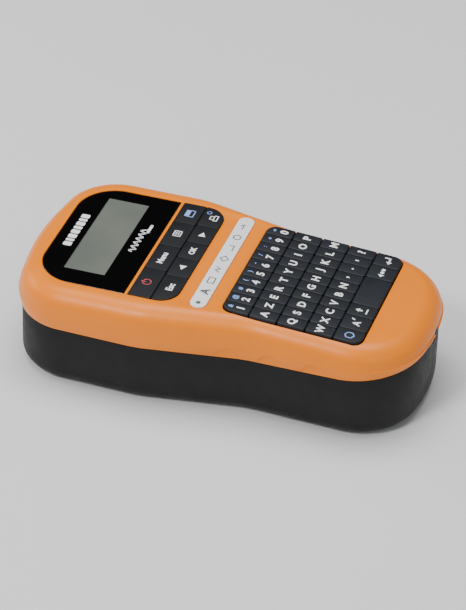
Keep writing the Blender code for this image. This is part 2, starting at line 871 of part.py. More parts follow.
def cells():
    for index in range(CELL_COUNT):
        x = (index - (CELL_COUNT - 1) / 2) * CELL_PITCH
        nub, step = 1.9, 0.8
        profile = (
            (0.0, 0.0),
            (CELL_RADIUS, 0.0),
            (CELL_RADIUS, CELL_LENGTH - step),
            (nub, CELL_LENGTH - step),
            (nub, CELL_LENGTH),
            (0.0, CELL_LENGTH),
        )
        obj = turned(f"cell_{index + 1}", profile, 20, "cell_green")
        low = WALL + CELL_RADIUS + 0.6
        flip = index % 2 == 1
        y = CELLS_END_Y + (CELL_LENGTH if flip else 0)
        obj.location = (x * MM, y * MM, low * MM)
        obj.rotation_euler = (math.pi / 2 if flip else -math.pi / 2, 0, 0)


def contacts():
    """Sprung contact plates at both ends of the row of cells."""
    half = CELL_COUNT * CELL_PITCH / 2 - 1
    for name, y in (
        ("contact_foot", CELLS_END_Y - GAP - CONTACT_THICK),
        ("contact_head", CELLS_END_Y + CELL_LENGTH + GAP),
    ):
        outline = rectangle(-half, half, y, y + CONTACT_THICK)
        prism(name, outline, 4.0, 13.0, "steel")


def supply_rolls():
    """Rolls that turn on the cassette's pegs: name, place, outer and inner radius, finish."""
    foot = cassette_foot_y()
    tape = (TAPE_ROLL_X, foot + TAPE_ROLL_FROM_FOOT)
    ribbon = (RIBBON_ROLL_X, foot + RIBBON_ROLL_FROM_FOOT)
    return (
        ("tape_roll", tape, TAPE_ROLL_RADIUS, TAPE_ROLL_BORE, "tape_white"),
        ("ribbon_roll", ribbon, RIBBON_ROLL_RADIUS, RIBBON_ROLL_BORE, "ribbon_black"),
    )


def cassette_low():
    return WALL + 1.2


def head_notch():
    """Recess in the cassette's tape side for the print head: x0, x1, y0, y1."""
    x = tape_x()
    return (x - 6.0, x, PLATEN_Y - 9.0, PLATEN_Y + 9.0)


def spool_low():
    return cassette_low() + CASSETTE_WALL + 2 * GAP


def sleeve(name, outer, inner, finish):
    """Upright tube between the cassette's lid and its ceiling."""
    low = spool_low()
    high = low + SPOOL_HEIGHT
    profile = ((inner, low), (outer, low), (outer, high), (inner, high))
    return turned(name, profile, 24, finish, closed_profile=True)


def cassette():
    low = cassette_low()
    high = low + CASSETTE_HEIGHT
    x0, x1 = CASSETTE_LEFT, tape_x() - 0.6
    y0, y1 = cassette_foot_y() + GAP, cassette_head_y()
    outline = rectangle(x0, x1, y0, y1, CASSETTE_CORNER)
    wall = CASSETTE_WALL
    case_low = low + wall + GAP
    obj = prism("cassette_case", outline, case_low, high, "cassette_grey")
    hollow = rectangle(x0 + wall, x1 - wall, y0 + wall, y1 - wall, CASSETTE_CORNER - wall)
    pocket = prism("cassette_hollow", hollow, low - 1, high - wall, cutter=True)
    nx0, nx1, ny0, ny1 = head_notch()
    guard = rectangle(nx0 - wall, nx1 + 5, ny0 - wall, ny1 + wall)
    boolean(pocket, prism("notch_guard", guard, low - 3, high + 3, cutter=True))
    boolean(obj, pocket)
    notch = rectangle(nx0, nx1 + 5, ny0, ny1)
    boolean(obj, prism("head_notch", notch, low - 3, high + 3, cutter=True))
    around = circle(TAKE_UP_X, TAKE_UP_Y, TAKE_UP_OPENING, 16)
    boolean(obj, prism("drive_hole", around, high - 3, high + 3, cutter=True))
    lid = prism("cassette_lid", outline, low, low + wall, "cassette_grey")
    boolean(lid, prism("lid_notch", notch, low - 3, high + 3, cutter=True))
    for name, (x, y), outer, inner, finish in supply_rolls():
        around = circle(x, y, inner - GAP, 16)
        boolean(obj, prism(f"{name}_peg", around, case_low, high - 0.5, cutter=True), "UNION")
        place(sleeve(name, outer, inner, finish), x, y, 0)


# Drive


def gear_outline(teeth, phase):
    """Straight-sided teeth with running backlash, one tooth centred on the phase angle."""
    pitch = GEAR_MODULE * teeth / 2
    levels = (
        (pitch - 1.2 * GEAR_MODULE, 0.31),
        (pitch, 0.215),
        (pitch + 0.85 * GEAR_MODULE, 0.11),
    )
    points = []
    step = 2 * math.pi / teeth
    for tooth in range(teeth):
        middle = phase + tooth * step
        sides = [(r, -w) for r, w in levels] + [(r, w) for r, w in reversed(levels)]
        for radius, share in sides:
            turn = middle + share * step
            points.append((radius * math.cos(turn), radius * math.sin(turn)))
    return points


def meshed_centre(first, first_teeth, second, second_teeth, teeth):
    """Centre of a gear that meshes with two others, on the side away from the body's middle."""
    a, b = Vector(first), Vector(second)
    ra = GEAR_MODULE * (first_teeth + teeth) / 2
    rb = GEAR_MODULE * (second_teeth + teeth) / 2
    span = (b - a).length
    along = (ra * ra - rb * rb + span * span) / (2 * span)
    across = math.sqrt(max(ra * ra - along * along, 0.0))
    unit = (b - a) / span
    return tuple(a + unit * along + Vector((-unit.y, unit.x)) * across)


def drive_centres():
    pinion = (MOTOR_X, MOTOR_Y)
    platen = (PLATEN_X, PLATEN_Y)
    take_up = (TAKE_UP_X, TAKE_UP_Y)
    idler = meshed_centre(platen, PLATEN_TEETH, pinion, PINION_TEETH, IDLER_TEETH)
    link = meshed_centre(take_up, TAKE_UP_TEETH, platen, PLATEN_TEETH, LINK_TEETH)
    return {"pinion": pinion, "idler": idler, "platen": platen, "link": link, "take_up": take_up}


def meshed_phase(centre, teeth, phase, other, other_teeth):
    """Phase that puts the other gear's teeth in this gear's gaps."""
    heading = math.atan2(other[1] - centre[1], other[0] - centre[0])
    here = (heading - phase) * teeth / (2 * math.pi)
    there = 0.5 - here
    return heading + math.pi - there * 2 * math.pi / other_teeth


def drive():
    """Motor, gear train, platen roller and take-up spool, each turning about its own Z."""
    centres = drive_centres()
    low = gear_low()
    high = low + GEAR_THICK
    plan = (
        ("motor_pinion", "pinion", PINION_TEETH, "steel"),
        ("idler_gear", "idler", IDLER_TEETH, "gear_white"),
        ("platen_gear", "platen", PLATEN_TEETH, "gear_white"),
        ("link_gear", "link", LINK_TEETH, "gear_white"),
        ("take_up_gear", "take_up", TAKE_UP_TEETH, "gear_white"),
    )
    phases = [0.0]
    for (_, key, teeth, _), (_, after, more, _) in zip(plan, plan[1:]):
        phases.append(meshed_phase(centres[key], teeth, phases[-1], centres[after], more))
    shaft_low = {
        "pinion": TRAY_TOP - TRAY_WALL,
        "idler": TRAY_TOP - TRAY_WALL,
        "link": TRAY_TOP - TRAY_WALL,
        "platen": cassette_low() + 1.5,
        "take_up": cassette_low() + 3.0,
    }
    for (name, key, teeth, finish), phase in zip(plan, phases):
        gear = prism(name, gear_outline(teeth, phase), low, high, finish)
        x, y = centres[key]
        around = circle(0, 0, SHAFT_RADIUS, 16)
        shaft = prism(f"{name}_shaft", around, shaft_low[key], high - 0.5, cutter=True)
        place(gear, x, y, 0)
        place(shaft, x, y, 0)
        boolean(gear, shaft, "UNION")
    bore = SHAFT_RADIUS + GAP
    roller = sleeve("platen_roller", PLATEN_RADIUS, bore, "rubber_black")
    place(roller, *centres["platen"], 0)
    spool = sleeve("take_up_spool", TAKE_UP_RADIUS, bore, "gear_white")
    place(spool, *centres["take_up"], 0)
    motor_top = TRAY_TOP - TRAY_WALL - GAP
    motor_low = motor_top - MOTOR_LENGTH
    profile = (
        (0.0, motor_low),
        (MOTOR_RADIUS - 0.6, motor_low),
        (MOTOR_RADIUS, motor_low + 0.6),
        (MOTOR_RADIUS, motor_top - 0.6),
        (MOTOR_RADIUS - 0.6, motor_top),
        (0.0, motor_top),
    )
    motor = turned("motor", profile, 24, "steel")
    place(motor, MOTOR_X, MOTOR_Y, 0)


def print_head():
    """Heated bar and its heat sink, hung from the tray's ceiling in the cassette's notch."""
    x1 = PLATEN_X - PLATEN_RADIUS - 0.4
    low = cassette_low() + 2.0
    high = TRAY_TOP - TRAY_WALL - GAP
    bar = rectangle(x1 - 1.6, x1, PLATEN_Y - 6, PLATEN_Y + 6)
    obj = prism("print_head", bar, low, high, "steel")
    foot = rectangle(x1 - 4.5, x1 - 1, PLATEN_Y - 5, PLATEN_Y + 5)
    boolean(obj, prism("head_foot", foot, high - 1.2, high, cutter=True), "UNION")
    return obj


# Cutter, cover and screws


def cutter():
    """Thumb lever in the head's corner that swings a blade across the tape."""
    pad = outline_band(CUTTER_FROM_Y, CUTTER_TO_Y, SKIRT_TUCK + 0.2, SKIRT_TUCK + 2.6)
    pad = [(x - CUTTER_X, y - CUTTER_Y) for x, y in pad]
    lever = prism("cutter_lever", pad, CUTTER_LOW_Z, CUTTER_HIGH_Z, "lever_orange")
    hub = prism("lever_hub", circle(0, 0, 3.4, 16), CUTTER_LOW_Z, CUTTER_HIGH_Z - 2, cutter=True)
    arm_outline = [(-1.0, -1.0), (2.5, -1.0), (12.0, CUTTER_FROM_Y - CUTTER_Y + 1)]
    arm_outline += [(10.0, CUTTER_FROM_Y - CUTTER_Y + 6), (-1.0, 2.0)]
    arm = prism("lever_arm", arm_outline, CUTTER_LOW_Z + 1, CUTTER_HIGH_Z - 2, cutter=True)
    carrier_y = BLADE_Y - CUTTER_Y
    end_x = tape_x() + 4.0 - CUTTER_X
    beam = rectangle(end_x, 7.2, carrier_y - 3.5, carrier_y - 1.0)
    carrier = prism("lever_beam", beam, CUTTER_LOW_Z + 1, CUTTER_HIGH_Z - 3, cutter=True)
    bore = prism("lever_bore", circle(0, 0, SHAFT_RADIUS + SHAFT_PLAY, 16), 0, 40, cutter=True)
    for tool in (hub, arm, carrier, bore):
        tool.parent = lever
    place(lever, CUTTER_X, CUTTER_Y, 0)
    boolean(lever, hub, "UNION")
    boolean(lever, arm, "UNION")
    boolean(lever, carrier, "UNION")
    boolean(lever, bore)
    edge = tape_x() + 2.6 - CUTTER_X
    blade_outline = rectangle(edge, edge + 12, carrier_y - 0.7, carrier_y - 0.2)
    blade = prism("cutter_blade", blade_outline, TAPE_LOW_Z + 0.5, TAPE_HIGH_Z - 0.5, "steel")
    place(blade, CUTTER_X, CUTTER_Y, 0)
    pin = prism("cutter_pin", circle(0, 0, SHAFT_RADIUS, 16), CUTTER_LOW_Z, CUTTER_HIGH_Z, "steel")
    place(pin, CUTTER_X, CUTTER_Y, 0)


def back_cover():
    low = COVER_RECESS
    obj = prism("back_cover", cover_outline(), low, low + COVER_THICK, "black_plastic")
    boolean(obj, cover_tab("cover_tab", low, low + COVER_THICK), "UNION")
    return obj


def screws():
    for index, (x, y) in enumerate(SCREW_PLACES):
        head = 1.4
        profile = (
            (0.0, 0.6),
            (SCREW_RADIUS, 0.6),
            (SCREW_RADIUS, 0.6 + head),
            (SCREW_RADIUS * 0.5, 0.6 + head),
            (SCREW_RADIUS * 0.5, 0.6 + head + SCREW_LENGTH),
            (0.0, 0.6 + head + SCREW_LENGTH),
        )
        obj = turned(f"screw_{index + 1}", profile, 16, "steel")
        place(obj, x, y, 0)


def main():
    clear_scene()
    front_shell()
    rear_shell()
    display_lens()
    lcd_module()
    legend_strip()
    for row in range(KEY_ROWS - 1):
        letter_key_row(row)
    bottom_keys()
    function_keys()
    circuit_board()
    keypad_mat()
    dc_jack()
    tray()
    cells()
    contacts()
    cassette()
    drive()
    print_head()
    cutter()
    back_cover()
    screws()


main()
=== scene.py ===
import math

import bmesh
import bpy
from mathutils import Matrix, Vector


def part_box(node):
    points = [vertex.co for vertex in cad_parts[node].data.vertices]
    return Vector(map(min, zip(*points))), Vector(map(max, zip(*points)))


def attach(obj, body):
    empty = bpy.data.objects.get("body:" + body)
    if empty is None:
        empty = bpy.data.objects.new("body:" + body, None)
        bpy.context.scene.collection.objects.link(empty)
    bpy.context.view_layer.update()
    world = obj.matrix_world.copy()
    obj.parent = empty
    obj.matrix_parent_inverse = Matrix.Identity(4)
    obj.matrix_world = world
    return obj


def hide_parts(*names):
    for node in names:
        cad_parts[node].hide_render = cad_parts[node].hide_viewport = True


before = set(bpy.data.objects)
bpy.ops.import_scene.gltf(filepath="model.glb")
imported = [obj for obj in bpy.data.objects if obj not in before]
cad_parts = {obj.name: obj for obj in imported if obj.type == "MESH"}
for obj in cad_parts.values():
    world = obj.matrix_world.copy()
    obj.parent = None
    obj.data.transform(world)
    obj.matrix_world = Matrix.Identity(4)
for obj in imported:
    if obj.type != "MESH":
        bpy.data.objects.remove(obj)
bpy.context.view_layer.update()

mm = 0.001
print("frame loaded:", len(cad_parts), "nodes")

# Moulded finishes: colour, how dark its clouds go, grain per metre, roughness range, grain height,
# clear coat and gloss level. Every pattern reads Object coordinates.
mouldings = {
    "orangeShell": ((1.00, 0.250, 0.000), 0.96, 1400, (0.32, 0.40), 0.03, 0.0, 0.35),
    "blackShell": ((0.0065, 0.0065, 0.0072), 0.75, 1100, (0.45, 0.58), 0.10, 0.0, 0.3),
    "windowBlack": ((0.0025, 0.0025, 0.0028), 0.90, 300, (0.05, 0.08), 0.002, 0.3, 0.5),
    "keySlate": ((0.0125, 0.0150, 0.0200), 0.80, 1600, (0.46, 0.58), 0.08, 0.0, 0.35),
    "padCharcoal": ((0.0090, 0.0105, 0.0135), 0.80, 1600, (0.48, 0.60), 0.08, 0.0, 0.35),
    "stripWhite": ((0.93, 0.93, 0.92), 0.97, 700, (0.38, 0.48), 0.02, 0.1, 0.5),
    "printWhite": ((0.97, 0.97, 0.96), 0.97, 900, (0.50, 0.60), 0.01, 0.0, 0.5),
    "printBlue": ((0.30, 0.45, 0.90), 0.90, 900, (0.50, 0.60), 0.01, 0.0, 0.5),
    "printRed": ((0.85, 0.12, 0.16), 0.90, 900, (0.50, 0.60), 0.01, 0.0, 0.5),
    "printGrey": ((0.10, 0.11, 0.12), 0.90, 900, (0.50, 0.60), 0.01, 0.0, 0.5),
    "trayBlack": ((0.020, 0.020, 0.022), 0.80, 900, (0.48, 0.60), 0.08, 0.0, 0.4),
    "cassetteGrey": ((0.085, 0.092, 0.100), 0.88, 1000, (0.42, 0.52), 0.06, 0.0, 0.5),
    "tapeWhite": ((0.84, 0.84, 0.81), 0.90, 500, (0.30, 0.42), 0.02, 0.1, 0.5),
    "ribbonBlack": ((0.010, 0.010, 0.012), 0.80, 500, (0.22, 0.32), 0.02, 0.1, 0.5),
    "gearWhite": ((0.74, 0.73, 0.67), 0.92, 800, (0.38, 0.48), 0.02, 0.0, 0.5),
    "rollerRubber": ((0.016, 0.016, 0.017), 0.75, 1500, (0.75, 0.88), 0.12, 0.0, 0.3),
    "leverOrange": ((0.95, 0.22, 0.008), 0.92, 1200, (0.40, 0.48), 0.04, 0.0, 0.5),
    "domeSilicone": ((0.30, 0.30, 0.31), 0.92, 700, (0.60, 0.72), 0.05, 0.0, 0.4),
}


def startFinish(name):
    made = bpy.data.materials.new(name)
    made.use_nodes = True
    tree = made.node_tree
    return made, tree, tree.nodes["Principled BSDF"], tree.nodes.new("ShaderNodeTexCoord").outputs["Object"]


def addNoise(tree, place, scale, detail=3.0):
    node = tree.nodes.new("ShaderNodeTexNoise")
    node.inputs["Scale"].default_value = scale
    node.inputs["Detail"].default_value = detail
    tree.links.new(place, node.inputs["Vector"])
    return node.outputs["Fac"]


def addRange(tree, value, low, high, fromLow=0.3, fromHigh=0.7):
    node = tree.nodes.new("ShaderNodeMapRange")
    node.inputs["From Min"].default_value = fromLow
    node.inputs["From Max"].default_value = fromHigh
    node.inputs["To Min"].default_value = low
    node.inputs["To Max"].default_value = high
    tree.links.new(value, node.inputs["Value"])
    return node.outputs["Result"]


def addMix(tree, factor, first, second):
    node = tree.nodes.new("ShaderNodeMix")
    node.data_type = "RGBA"
    tree.links.new(factor, node.inputs["Factor"])
    for socket, colour in ((node.inputs[6], first), (node.inputs[7], second)):
        if isinstance(colour, tuple):
            socket.default_value = (*colour, 1.0)
        else:
            tree.links.new(colour, socket)
    return node.outputs[2]


def addBump(tree, shader, height, strength, distance=0.0001):
    node = tree.nodes.new("ShaderNodeBump")
    node.inputs["Strength"].default_value = strength
    node.inputs["Distance"].default_value = distance
    tree.links.new(height, node.inputs["Height"])
    tree.links.new(node.outputs["Normal"], shader.inputs["Normal"])


def mouldedFinish(name):
    colour, shade, grain, roughness, height, coat, gloss = mouldings[name]
    made, tree, shader, place = startFinish(name)
    clouds = addRange(tree, addNoise(tree, place, 45.0), 0.0, 1.0)
    darker = tuple(channel * shade for channel in colour)
    tree.links.new(addMix(tree, clouds, darker, colour), shader.inputs["Base Color"])
    rough = addRange(tree, addNoise(tree, place, 160.0), *roughness)
    tree.links.new(rough, shader.inputs["Roughness"])
    shader.inputs["Specular IOR Level"].default_value = gloss
    shader.inputs["Coat Weight"].default_value = coat
    shader.inputs["Coat Roughness"].default_value = 0.08
    addBump(tree, shader, addNoise(tree, place, grain, 2.0), height)
    return made


def steelFinish():
    made, tree, shader, place = startFinish("brushedSteel")
    stretch = tree.nodes.new("ShaderNodeMapping")
    stretch.inputs["Scale"].default_value = (900.0, 900.0, 60.0)
    tree.links.new(place, stretch.inputs["Vector"])
    lines = addNoise(tree, stretch.outputs["Vector"], 1.0, 2.0)
    share = addRange(tree, lines, 0.0, 1.0)
    tree.links.new(addMix(tree, share, (0.42, 0.43, 0.45), (0.66, 0.67, 0.69)), shader.inputs["Base Color"])
    tree.links.new(addRange(tree, lines, 0.22, 0.38), shader.inputs["Roughness"])
    shader.inputs["Metallic"].default_value = 1.0
    addBump(tree, shader, lines, 0.05)
    return made


def boardFinish():
    made, tree, shader, place = startFinish("boardGreen")
    tracks = tree.nodes.new("ShaderNodeTexVoronoi")
    tracks.distance = "MANHATTAN"
    tracks.feature = "DISTANCE_TO_EDGE"
    tracks.inputs["Scale"].default_value = 320.0
    tree.links.new(place, tracks.inputs["Vector"])
    copper = addRange(tree, tracks.outputs["Distance"], 1.0, 0.0, 0.02, 0.10)
    colour = addMix(tree, copper, (0.012, 0.085, 0.035), (0.045, 0.22, 0.085))
    tree.links.new(colour, shader.inputs["Base Color"])
    tree.links.new(addRange(tree, copper, 0.45, 0.30, 0.0, 1.0), shader.inputs["Roughness"])
    addBump(tree, shader, copper, 0.08)
    return made


# The display's dot grid: one dot each way, in millimetres, and its three greys.
displayLook = {
    "dot": 0.9,
    "gapShare": 0.08,
    "dotColour": (0.200, 0.215, 0.180),
    "gapColour": (0.170, 0.184, 0.155),
    "cloudColour": (0.130, 0.145, 0.128),
}


def displayFinish():
    made, tree, shader, place = startFinish("displayGlass")
    dots = tree.nodes.new("ShaderNodeTexBrick")
    dots.offset = 0.0
    dots.inputs["Scale"].default_value = 1.0 / (displayLook["dot"] * mm)
    dots.inputs["Mortar Size"].default_value = displayLook["gapShare"]
    dots.inputs["Brick Width"].default_value = 1.0
    dots.inputs["Row Height"].default_value = 1.0
    dots.inputs["Color1"].default_value = (*displayLook["dotColour"], 1.0)
    dots.inputs["Color2"].default_value = (*displayLook["dotColour"], 1.0)
    dots.inputs["Mortar"].default_value = (*displayLook["gapColour"], 1.0)
    tree.links.new(place, dots.inputs["Vector"])
    clouds = addRange(tree, addNoise(tree, place, 22.0), 0.0, 0.9)
    colour = addMix(tree, clouds, dots.outputs["Color"], displayLook["cloudColour"])
    tree.links.new(colour, shader.inputs["Base Color"])
    tree.links.new(addRange(tree, clouds, 0.10, 0.16, 0.0, 0.9), shader.inputs["Roughness"])
    shader.inputs["Coat Weight"].default_value = 0.6
    shader.inputs["Coat Roughness"].default_value = 0.05
    return made


def cellFinish(name, bandFrom, bandTo):
    # a green sleeve with a copper band at the end where the button is
    made, tree, shader, place = startFinish(name)
    split = tree.nodes.new("ShaderNodeSeparateXYZ")
    tree.links.new(place, split.inputs["Vector"])
    band = addRange(tree, split.outputs["Y"], 0.0, 1.0, bandFrom, bandTo)
    colour = addMix(tree, band, (0.012, 0.16, 0.075), (0.60, 0.30, 0.12))
    fine = addNoise(tree, place, 500.0)
    tree.links.new(colour, shader.inputs["Base Color"])
    tree.links.new(addRange(tree, fine, 0.26, 0.36), shader.inputs["Roughness"])
    shader.inputs["Coat Weight"].default_value = 0.4
    addBump(tree, shader, fine, 0.02)
    return made


paint = {name: mouldedFinish(name) for name in mouldings}
paint["brushedSteel"] = steelFinish()
paint["boardGreen"] = boardFinish()
paint["displayGlass"] = displayFinish()
cellLow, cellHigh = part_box("cell_1")
cellBand = 9 * mm
paint["cellHead"] = cellFinish("cellHead", cellHigh[1] - cellBand, cellHigh[1] - cellBand + 0.3 * mm)
paint["cellFoot"] = cellFinish("cellFoot", cellLow[1] + cellBand, cellLow[1] + cellBand - 0.3 * mm)
print("finishes made:", len(paint))

# The body's plan and its crowned face, in millimetres; length and width come from the frame.
bodySizes = {
    "waist": 89.0,
    "foot": 91.0,
    "headCorner": 29.0,
    "footCorner": 34.0,
    "endBow": 8.0,
    "footEndRadius": 96.0,
    "headEndRadius": 128.0,
    "sideBend": 60.0,
    "wall": 2.0,
    "parting": 32.8,
    "partingRise": 5.5,
    "topFillet": 10.0,
    "bottomFillet": 8.0,
    "draft": 0.6,
    "widest": 41.0,
    "tuck": 1.2,
    "seamStep": 0.4,
    "headSlope": 0.0265,
    "footSlope": 0.042,
    "crownBlend": 12.0,
    "crownY": 6.4,
    "face": 55.0,
    "gap": 0.3,
    "rimEase": 0.12,
    "rearRimEase": 0.15,
    "edge": 0.28,
    "rearEdge": 0.25,
}
shellLow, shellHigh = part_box("front_shell")
bodyLength = (shellHigh[1] - shellLow[1]) / mm
headWidth = (shellHigh[0] - shellLow[0]) / mm


def cornerArc(before, corner, after, radius, steps):
    point = Vector(corner)
    toBefore = (Vector(before) - point).normalized()
    toAfter = (Vector(after) - point).normalized()
    half = toBefore.angle(toAfter) / 2
    centre = point + (toBefore + toAfter).normalized() * (radius / math.sin(half))
    start = point + toBefore * (radius / math.tan(half)) - centre
    end = point + toAfter * (radius / math.tan(half)) - centre
    first = math.atan2(start.y, start.x)
    turn = (math.atan2(end.y, end.x) - first + math.pi) % (2 * math.pi) - math.pi
    angles = [first + turn * step / steps for step in range(steps + 1)]
    return [(centre.x + radius * math.cos(a), centre.y + radius * math.sin(a)) for a in angles]


def roundedOutline(corners, steps=8):
    points = []
    for index, (x, y, radius) in enumerate(corners):
        if radius == 0:
            points.append((x, y))
        else:
            before, after = corners[index - 1][:2], corners[(index + 1) % len(corners)][:2]
            points += cornerArc(before, (x, y), after, radius, steps)
    return points


def rectangle(x0, x1, y0, y1, radius=0.0, steps=6):
    corners = [(x0, y0, radius), (x1, y0, radius), (x1, y1, radius), (x0, y1, radius)]
    return roundedOutline(corners, steps)


def circle(x, y, radius, steps=32):
    turns = [2 * math.pi * step / steps for step in range(steps)]
    return [(x + radius * math.cos(a), y + radius * math.sin(a)) for a in turns]


def bodyOutline():
    s = bodySizes
    end, bow = bodyLength / 2, s["endBow"]
    head, waist, foot = headWidth / 2, s["waist"] / 2, s["foot"] / 2
    corners = [
        (-foot, -end + bow, s["footCorner"]),
        (0.0, -end, s["footEndRadius"]),
        (foot, -end + bow, s["footCorner"]),
        (waist, -0.10 * bodyLength, s["sideBend"]),
        (head, 0.15 * bodyLength, s["sideBend"]),
        (head, end - bow, s["headCorner"]),
        (0.0, end, s["headEndRadius"]),
        (-head, end - bow, s["headCorner"]),
    ]
    steps = (0, 8, 20, 10, 10, 20, 8, 0)
    points = []
    for index in range(1, 7):
        x, y, radius = corners[index]
        arc = cornerArc(corners[index - 1][:2], (x, y), corners[index + 1][:2], radius, steps[index])
        if index == 1:
            arc = arc[steps[index] // 2:]
        if index == 6:
            arc = arc[: steps[index] // 2 + 1]
        points += arc
    low, high = points[0][1], points[-1][1]
    right = [(x, -end + (y - low) * bodyLength / (high - low)) for x, y in points]
    right[0], right[-1] = (0.0, -end), (0.0, end)
    return right + [(-x, y) for x, y in reversed(right[1:-1])]


def inset(outline, distance):
    moved, count = [], len(outline)
    for index in range(count):
        here = Vector(outline[index])
        back = (here - Vector(outline[index - 1])).normalized()
        ahead = (Vector(outline[(index + 1) % count]) - here).normalized()
        along = (back + ahead).normalized()
        inward = Vector((-along.y, along.x))
        moved.append(tuple(here + inward * (distance / max(along.dot(ahead), 0.5))))
    return moved


def sidePoints(distance, fromY, toY):
    # points of the +X side between two places along the body, moved inward by the distance
    outline = bodyOutline()
    side = inset(outline, distance)[1:len(outline) // 2]
    kept = [point for point in side if fromY < point[1] < toY]
    for y in (fromY, toY):
        for first, second in zip(side, side[1:]):
            if (first[1] - y) * (second[1] - y) <= 0 and first[1] != second[1]:
                share = (y - first[1]) / (second[1] - first[1])
                kept.append((first[0] + share * (second[0] - first[0]), y))
                break
    return sorted(kept, key=lambda point: point[1])


def sideAt(distance, y, near):
    # where the moved side crosses this place along the body, and its turn about Z there
    side = sidePoints(distance, y - near, y + near)
    (x0, y0), (x1, y1) = side[0], side[-1]
    return (x0 + x1) / 2, math.atan2(y1 - y0, x1 - x0) - math.pi / 2


def crownSlope(y):
    return bodySizes["headSlope"] if y > bodySizes["crownY"] else bodySizes["footSlope"]


def faceZ(y):
    run = math.hypot(y - bodySizes["crownY"], bodySizes["crownBlend"]) - bodySizes["crownBlend"]
    return bodySizes["face"] - crownSlope(y) * run


def faceTilt(y):
    reach = math.hypot(y - bodySizes["crownY"], bodySizes["crownBlend"])
    return math.atan(-crownSlope(y) * (y - bodySizes["crownY"]) / reach)


def partingZ(y):
    return bodySizes["parting"] + bodySizes["partingRise"] * max(0.0, -y / (bodyLength / 2)) ** 3


def skirtZ(y, share):
    return partingZ(y) + share * (bodySizes["widest"] - partingZ(y))


def onFace(x, y, lift=0.0):
    # the frame of a flat piece lying on the crowned face at this place, in millimetres
    return Matrix.Translation((x, y, faceZ(y) + lift)) @ Matrix.Rotation(faceTilt(y), 4, "X")


# Mesh helpers work in millimetres until finishPiece.


def ring(builder, points, matrix=None):
    made = [Vector(point) for point in points]
    if matrix is not None:
        made = [matrix @ point for point in made]
    return [builder.verts.new(point) for point in made]


def bridge(builder, first, second):
    count = len(first)
    for index in range(count):
        after = (index + 1) % count
        builder.faces.new((first[index], first[after], second[after], second[index]))


def ladderCap(builder, loop):
    middle = len(loop) // 2
    builder.faces.new((loop[0], loop[1], loop[-1]))
    for index in range(1, middle - 1):
        builder.faces.new((loop[index], loop[index + 1], loop[-index - 1], loop[-index]))
    builder.faces.new((loop[middle - 1], loop[middle], loop[middle + 1]))


def smoothByAngle(mesh, angle):
    mesh.polygons.foreach_set("use_smooth", [True] * len(mesh.polygons))
    mesh.set_sharp_from_angle(angle=math.radians(angle))


def finishPiece(name, builder, finish, angle=35.0):
    bmesh.ops.recalc_face_normals(builder, faces=builder.faces)
    bmesh.ops.scale(builder, vec=(mm, mm, mm), verts=builder.verts)
    mesh = bpy.data.meshes.new(name)
    builder.to_mesh(mesh)
    builder.free()
    obj = bpy.data.objects.new(name, mesh)
    bpy.context.scene.collection.objects.link(obj)
    if finish:
        mesh.materials.append(paint[finish])
    smoothByAngle(mesh, angle)
    return obj


def addPrism(builder, outline, low, high, matrix=None):
    bottom = ring(builder, [(x, y, low) for x, y in outline], matrix)
    top = ring(builder, [(x, y, high) for x, y in outline], matrix)
    bridge(builder, bottom, top)
    builder.faces.new(bottom)
    builder.faces.new(top)


def addCap(builder, outline, depth, edge, matrix=None, steps=4):
    # a solid with a soft upper edge and its top at height 0
    levels = [(0.0, -depth)]
    for step in range(steps + 1):
        turn = math.pi / 2 * step / steps
        levels.append((edge * (1 - math.cos(turn)), -edge * (1 - math.sin(turn))))
    rings = []
    for distance, z in levels:
        rings.append(ring(builder, [(x, y, z) for x, y in inset(outline, distance)], matrix))
    for first, second in zip(rings, rings[1:]):
        bridge(builder, first, second)
    builder.faces.new(rings[0])
    builder.faces.new(rings[-1])


def addTurned(builder, profile, steps, matrix=None):
    # (radius, height) points turned about the frame's Z; both ends lie on the axis
    rings = []
    for radius, z in profile[1:-1]:
        rings.append(ring(builder, [(x, y, z) for x, y in circle(0, 0, radius, steps)], matrix))
    for first, second in zip(rings, rings[1:]):
        bridge(builder, first, second)
    for loop, z in ((rings[0], profile[0][1]), (rings[-1], profile[-1][1])):
        tip = ring(builder, [(0, 0, z)], matrix)[0]
        for index in range(steps):
            builder.faces.new((tip, loop[index], loop[(index + 1) % steps]))


def applyModifiers(obj):
    bpy.context.view_layer.update()
    graph = bpy.context.evaluated_depsgraph_get()
    mesh = bpy.data.meshes.new_from_object(obj.evaluated_get(graph))
    old = obj.data
    obj.modifiers.clear()
    obj.data = mesh
    bpy.data.meshes.remove(old)


def cutPiece(obj, cutters):
    # each cutter is (outline, low, high, matrix)
    for index, (outline, low, high, matrix) in enumerate(cutters):
        builder = bmesh.new()
        addPrism(builder, outline, low, high, matrix)
        tool = finishPiece(f"{obj.name}Cut{index}", builder, None)
        modifier = obj.modifiers.new("cut", "BOOLEAN")
        modifier.object = tool
        modifier.solver = "EXACT"
        applyModifiers(obj)
        bpy.data.objects.remove(tool, do_unlink=True)


def softenEdges(obj, width, angle=40.0, segments=2):
    modifier = obj.modifiers.new("soften", "BEVEL")
    modifier.width = width * mm
    modifier.segments = segments
    modifier.limit_method = "ANGLE"
    modifier.angle_limit = math.radians(angle)
    applyModifiers(obj)
    smoothByAngle(obj.data, 50.0)


# Geometry Nodes trees. Each has named inputs and ends in Realize Instances and Set Material.


def startTree(name, sockets):
    tree = bpy.data.node_groups.new(name, "GeometryNodeTree")
    for label, kind in sockets:
        tree.interface.new_socket(label, in_out="INPUT", socket_type="NodeSocket" + kind)
    tree.interface.new_socket("Geometry", in_out="OUTPUT", socket_type="NodeSocketGeometry")
    return tree, tree.nodes.new("NodeGroupInput").outputs


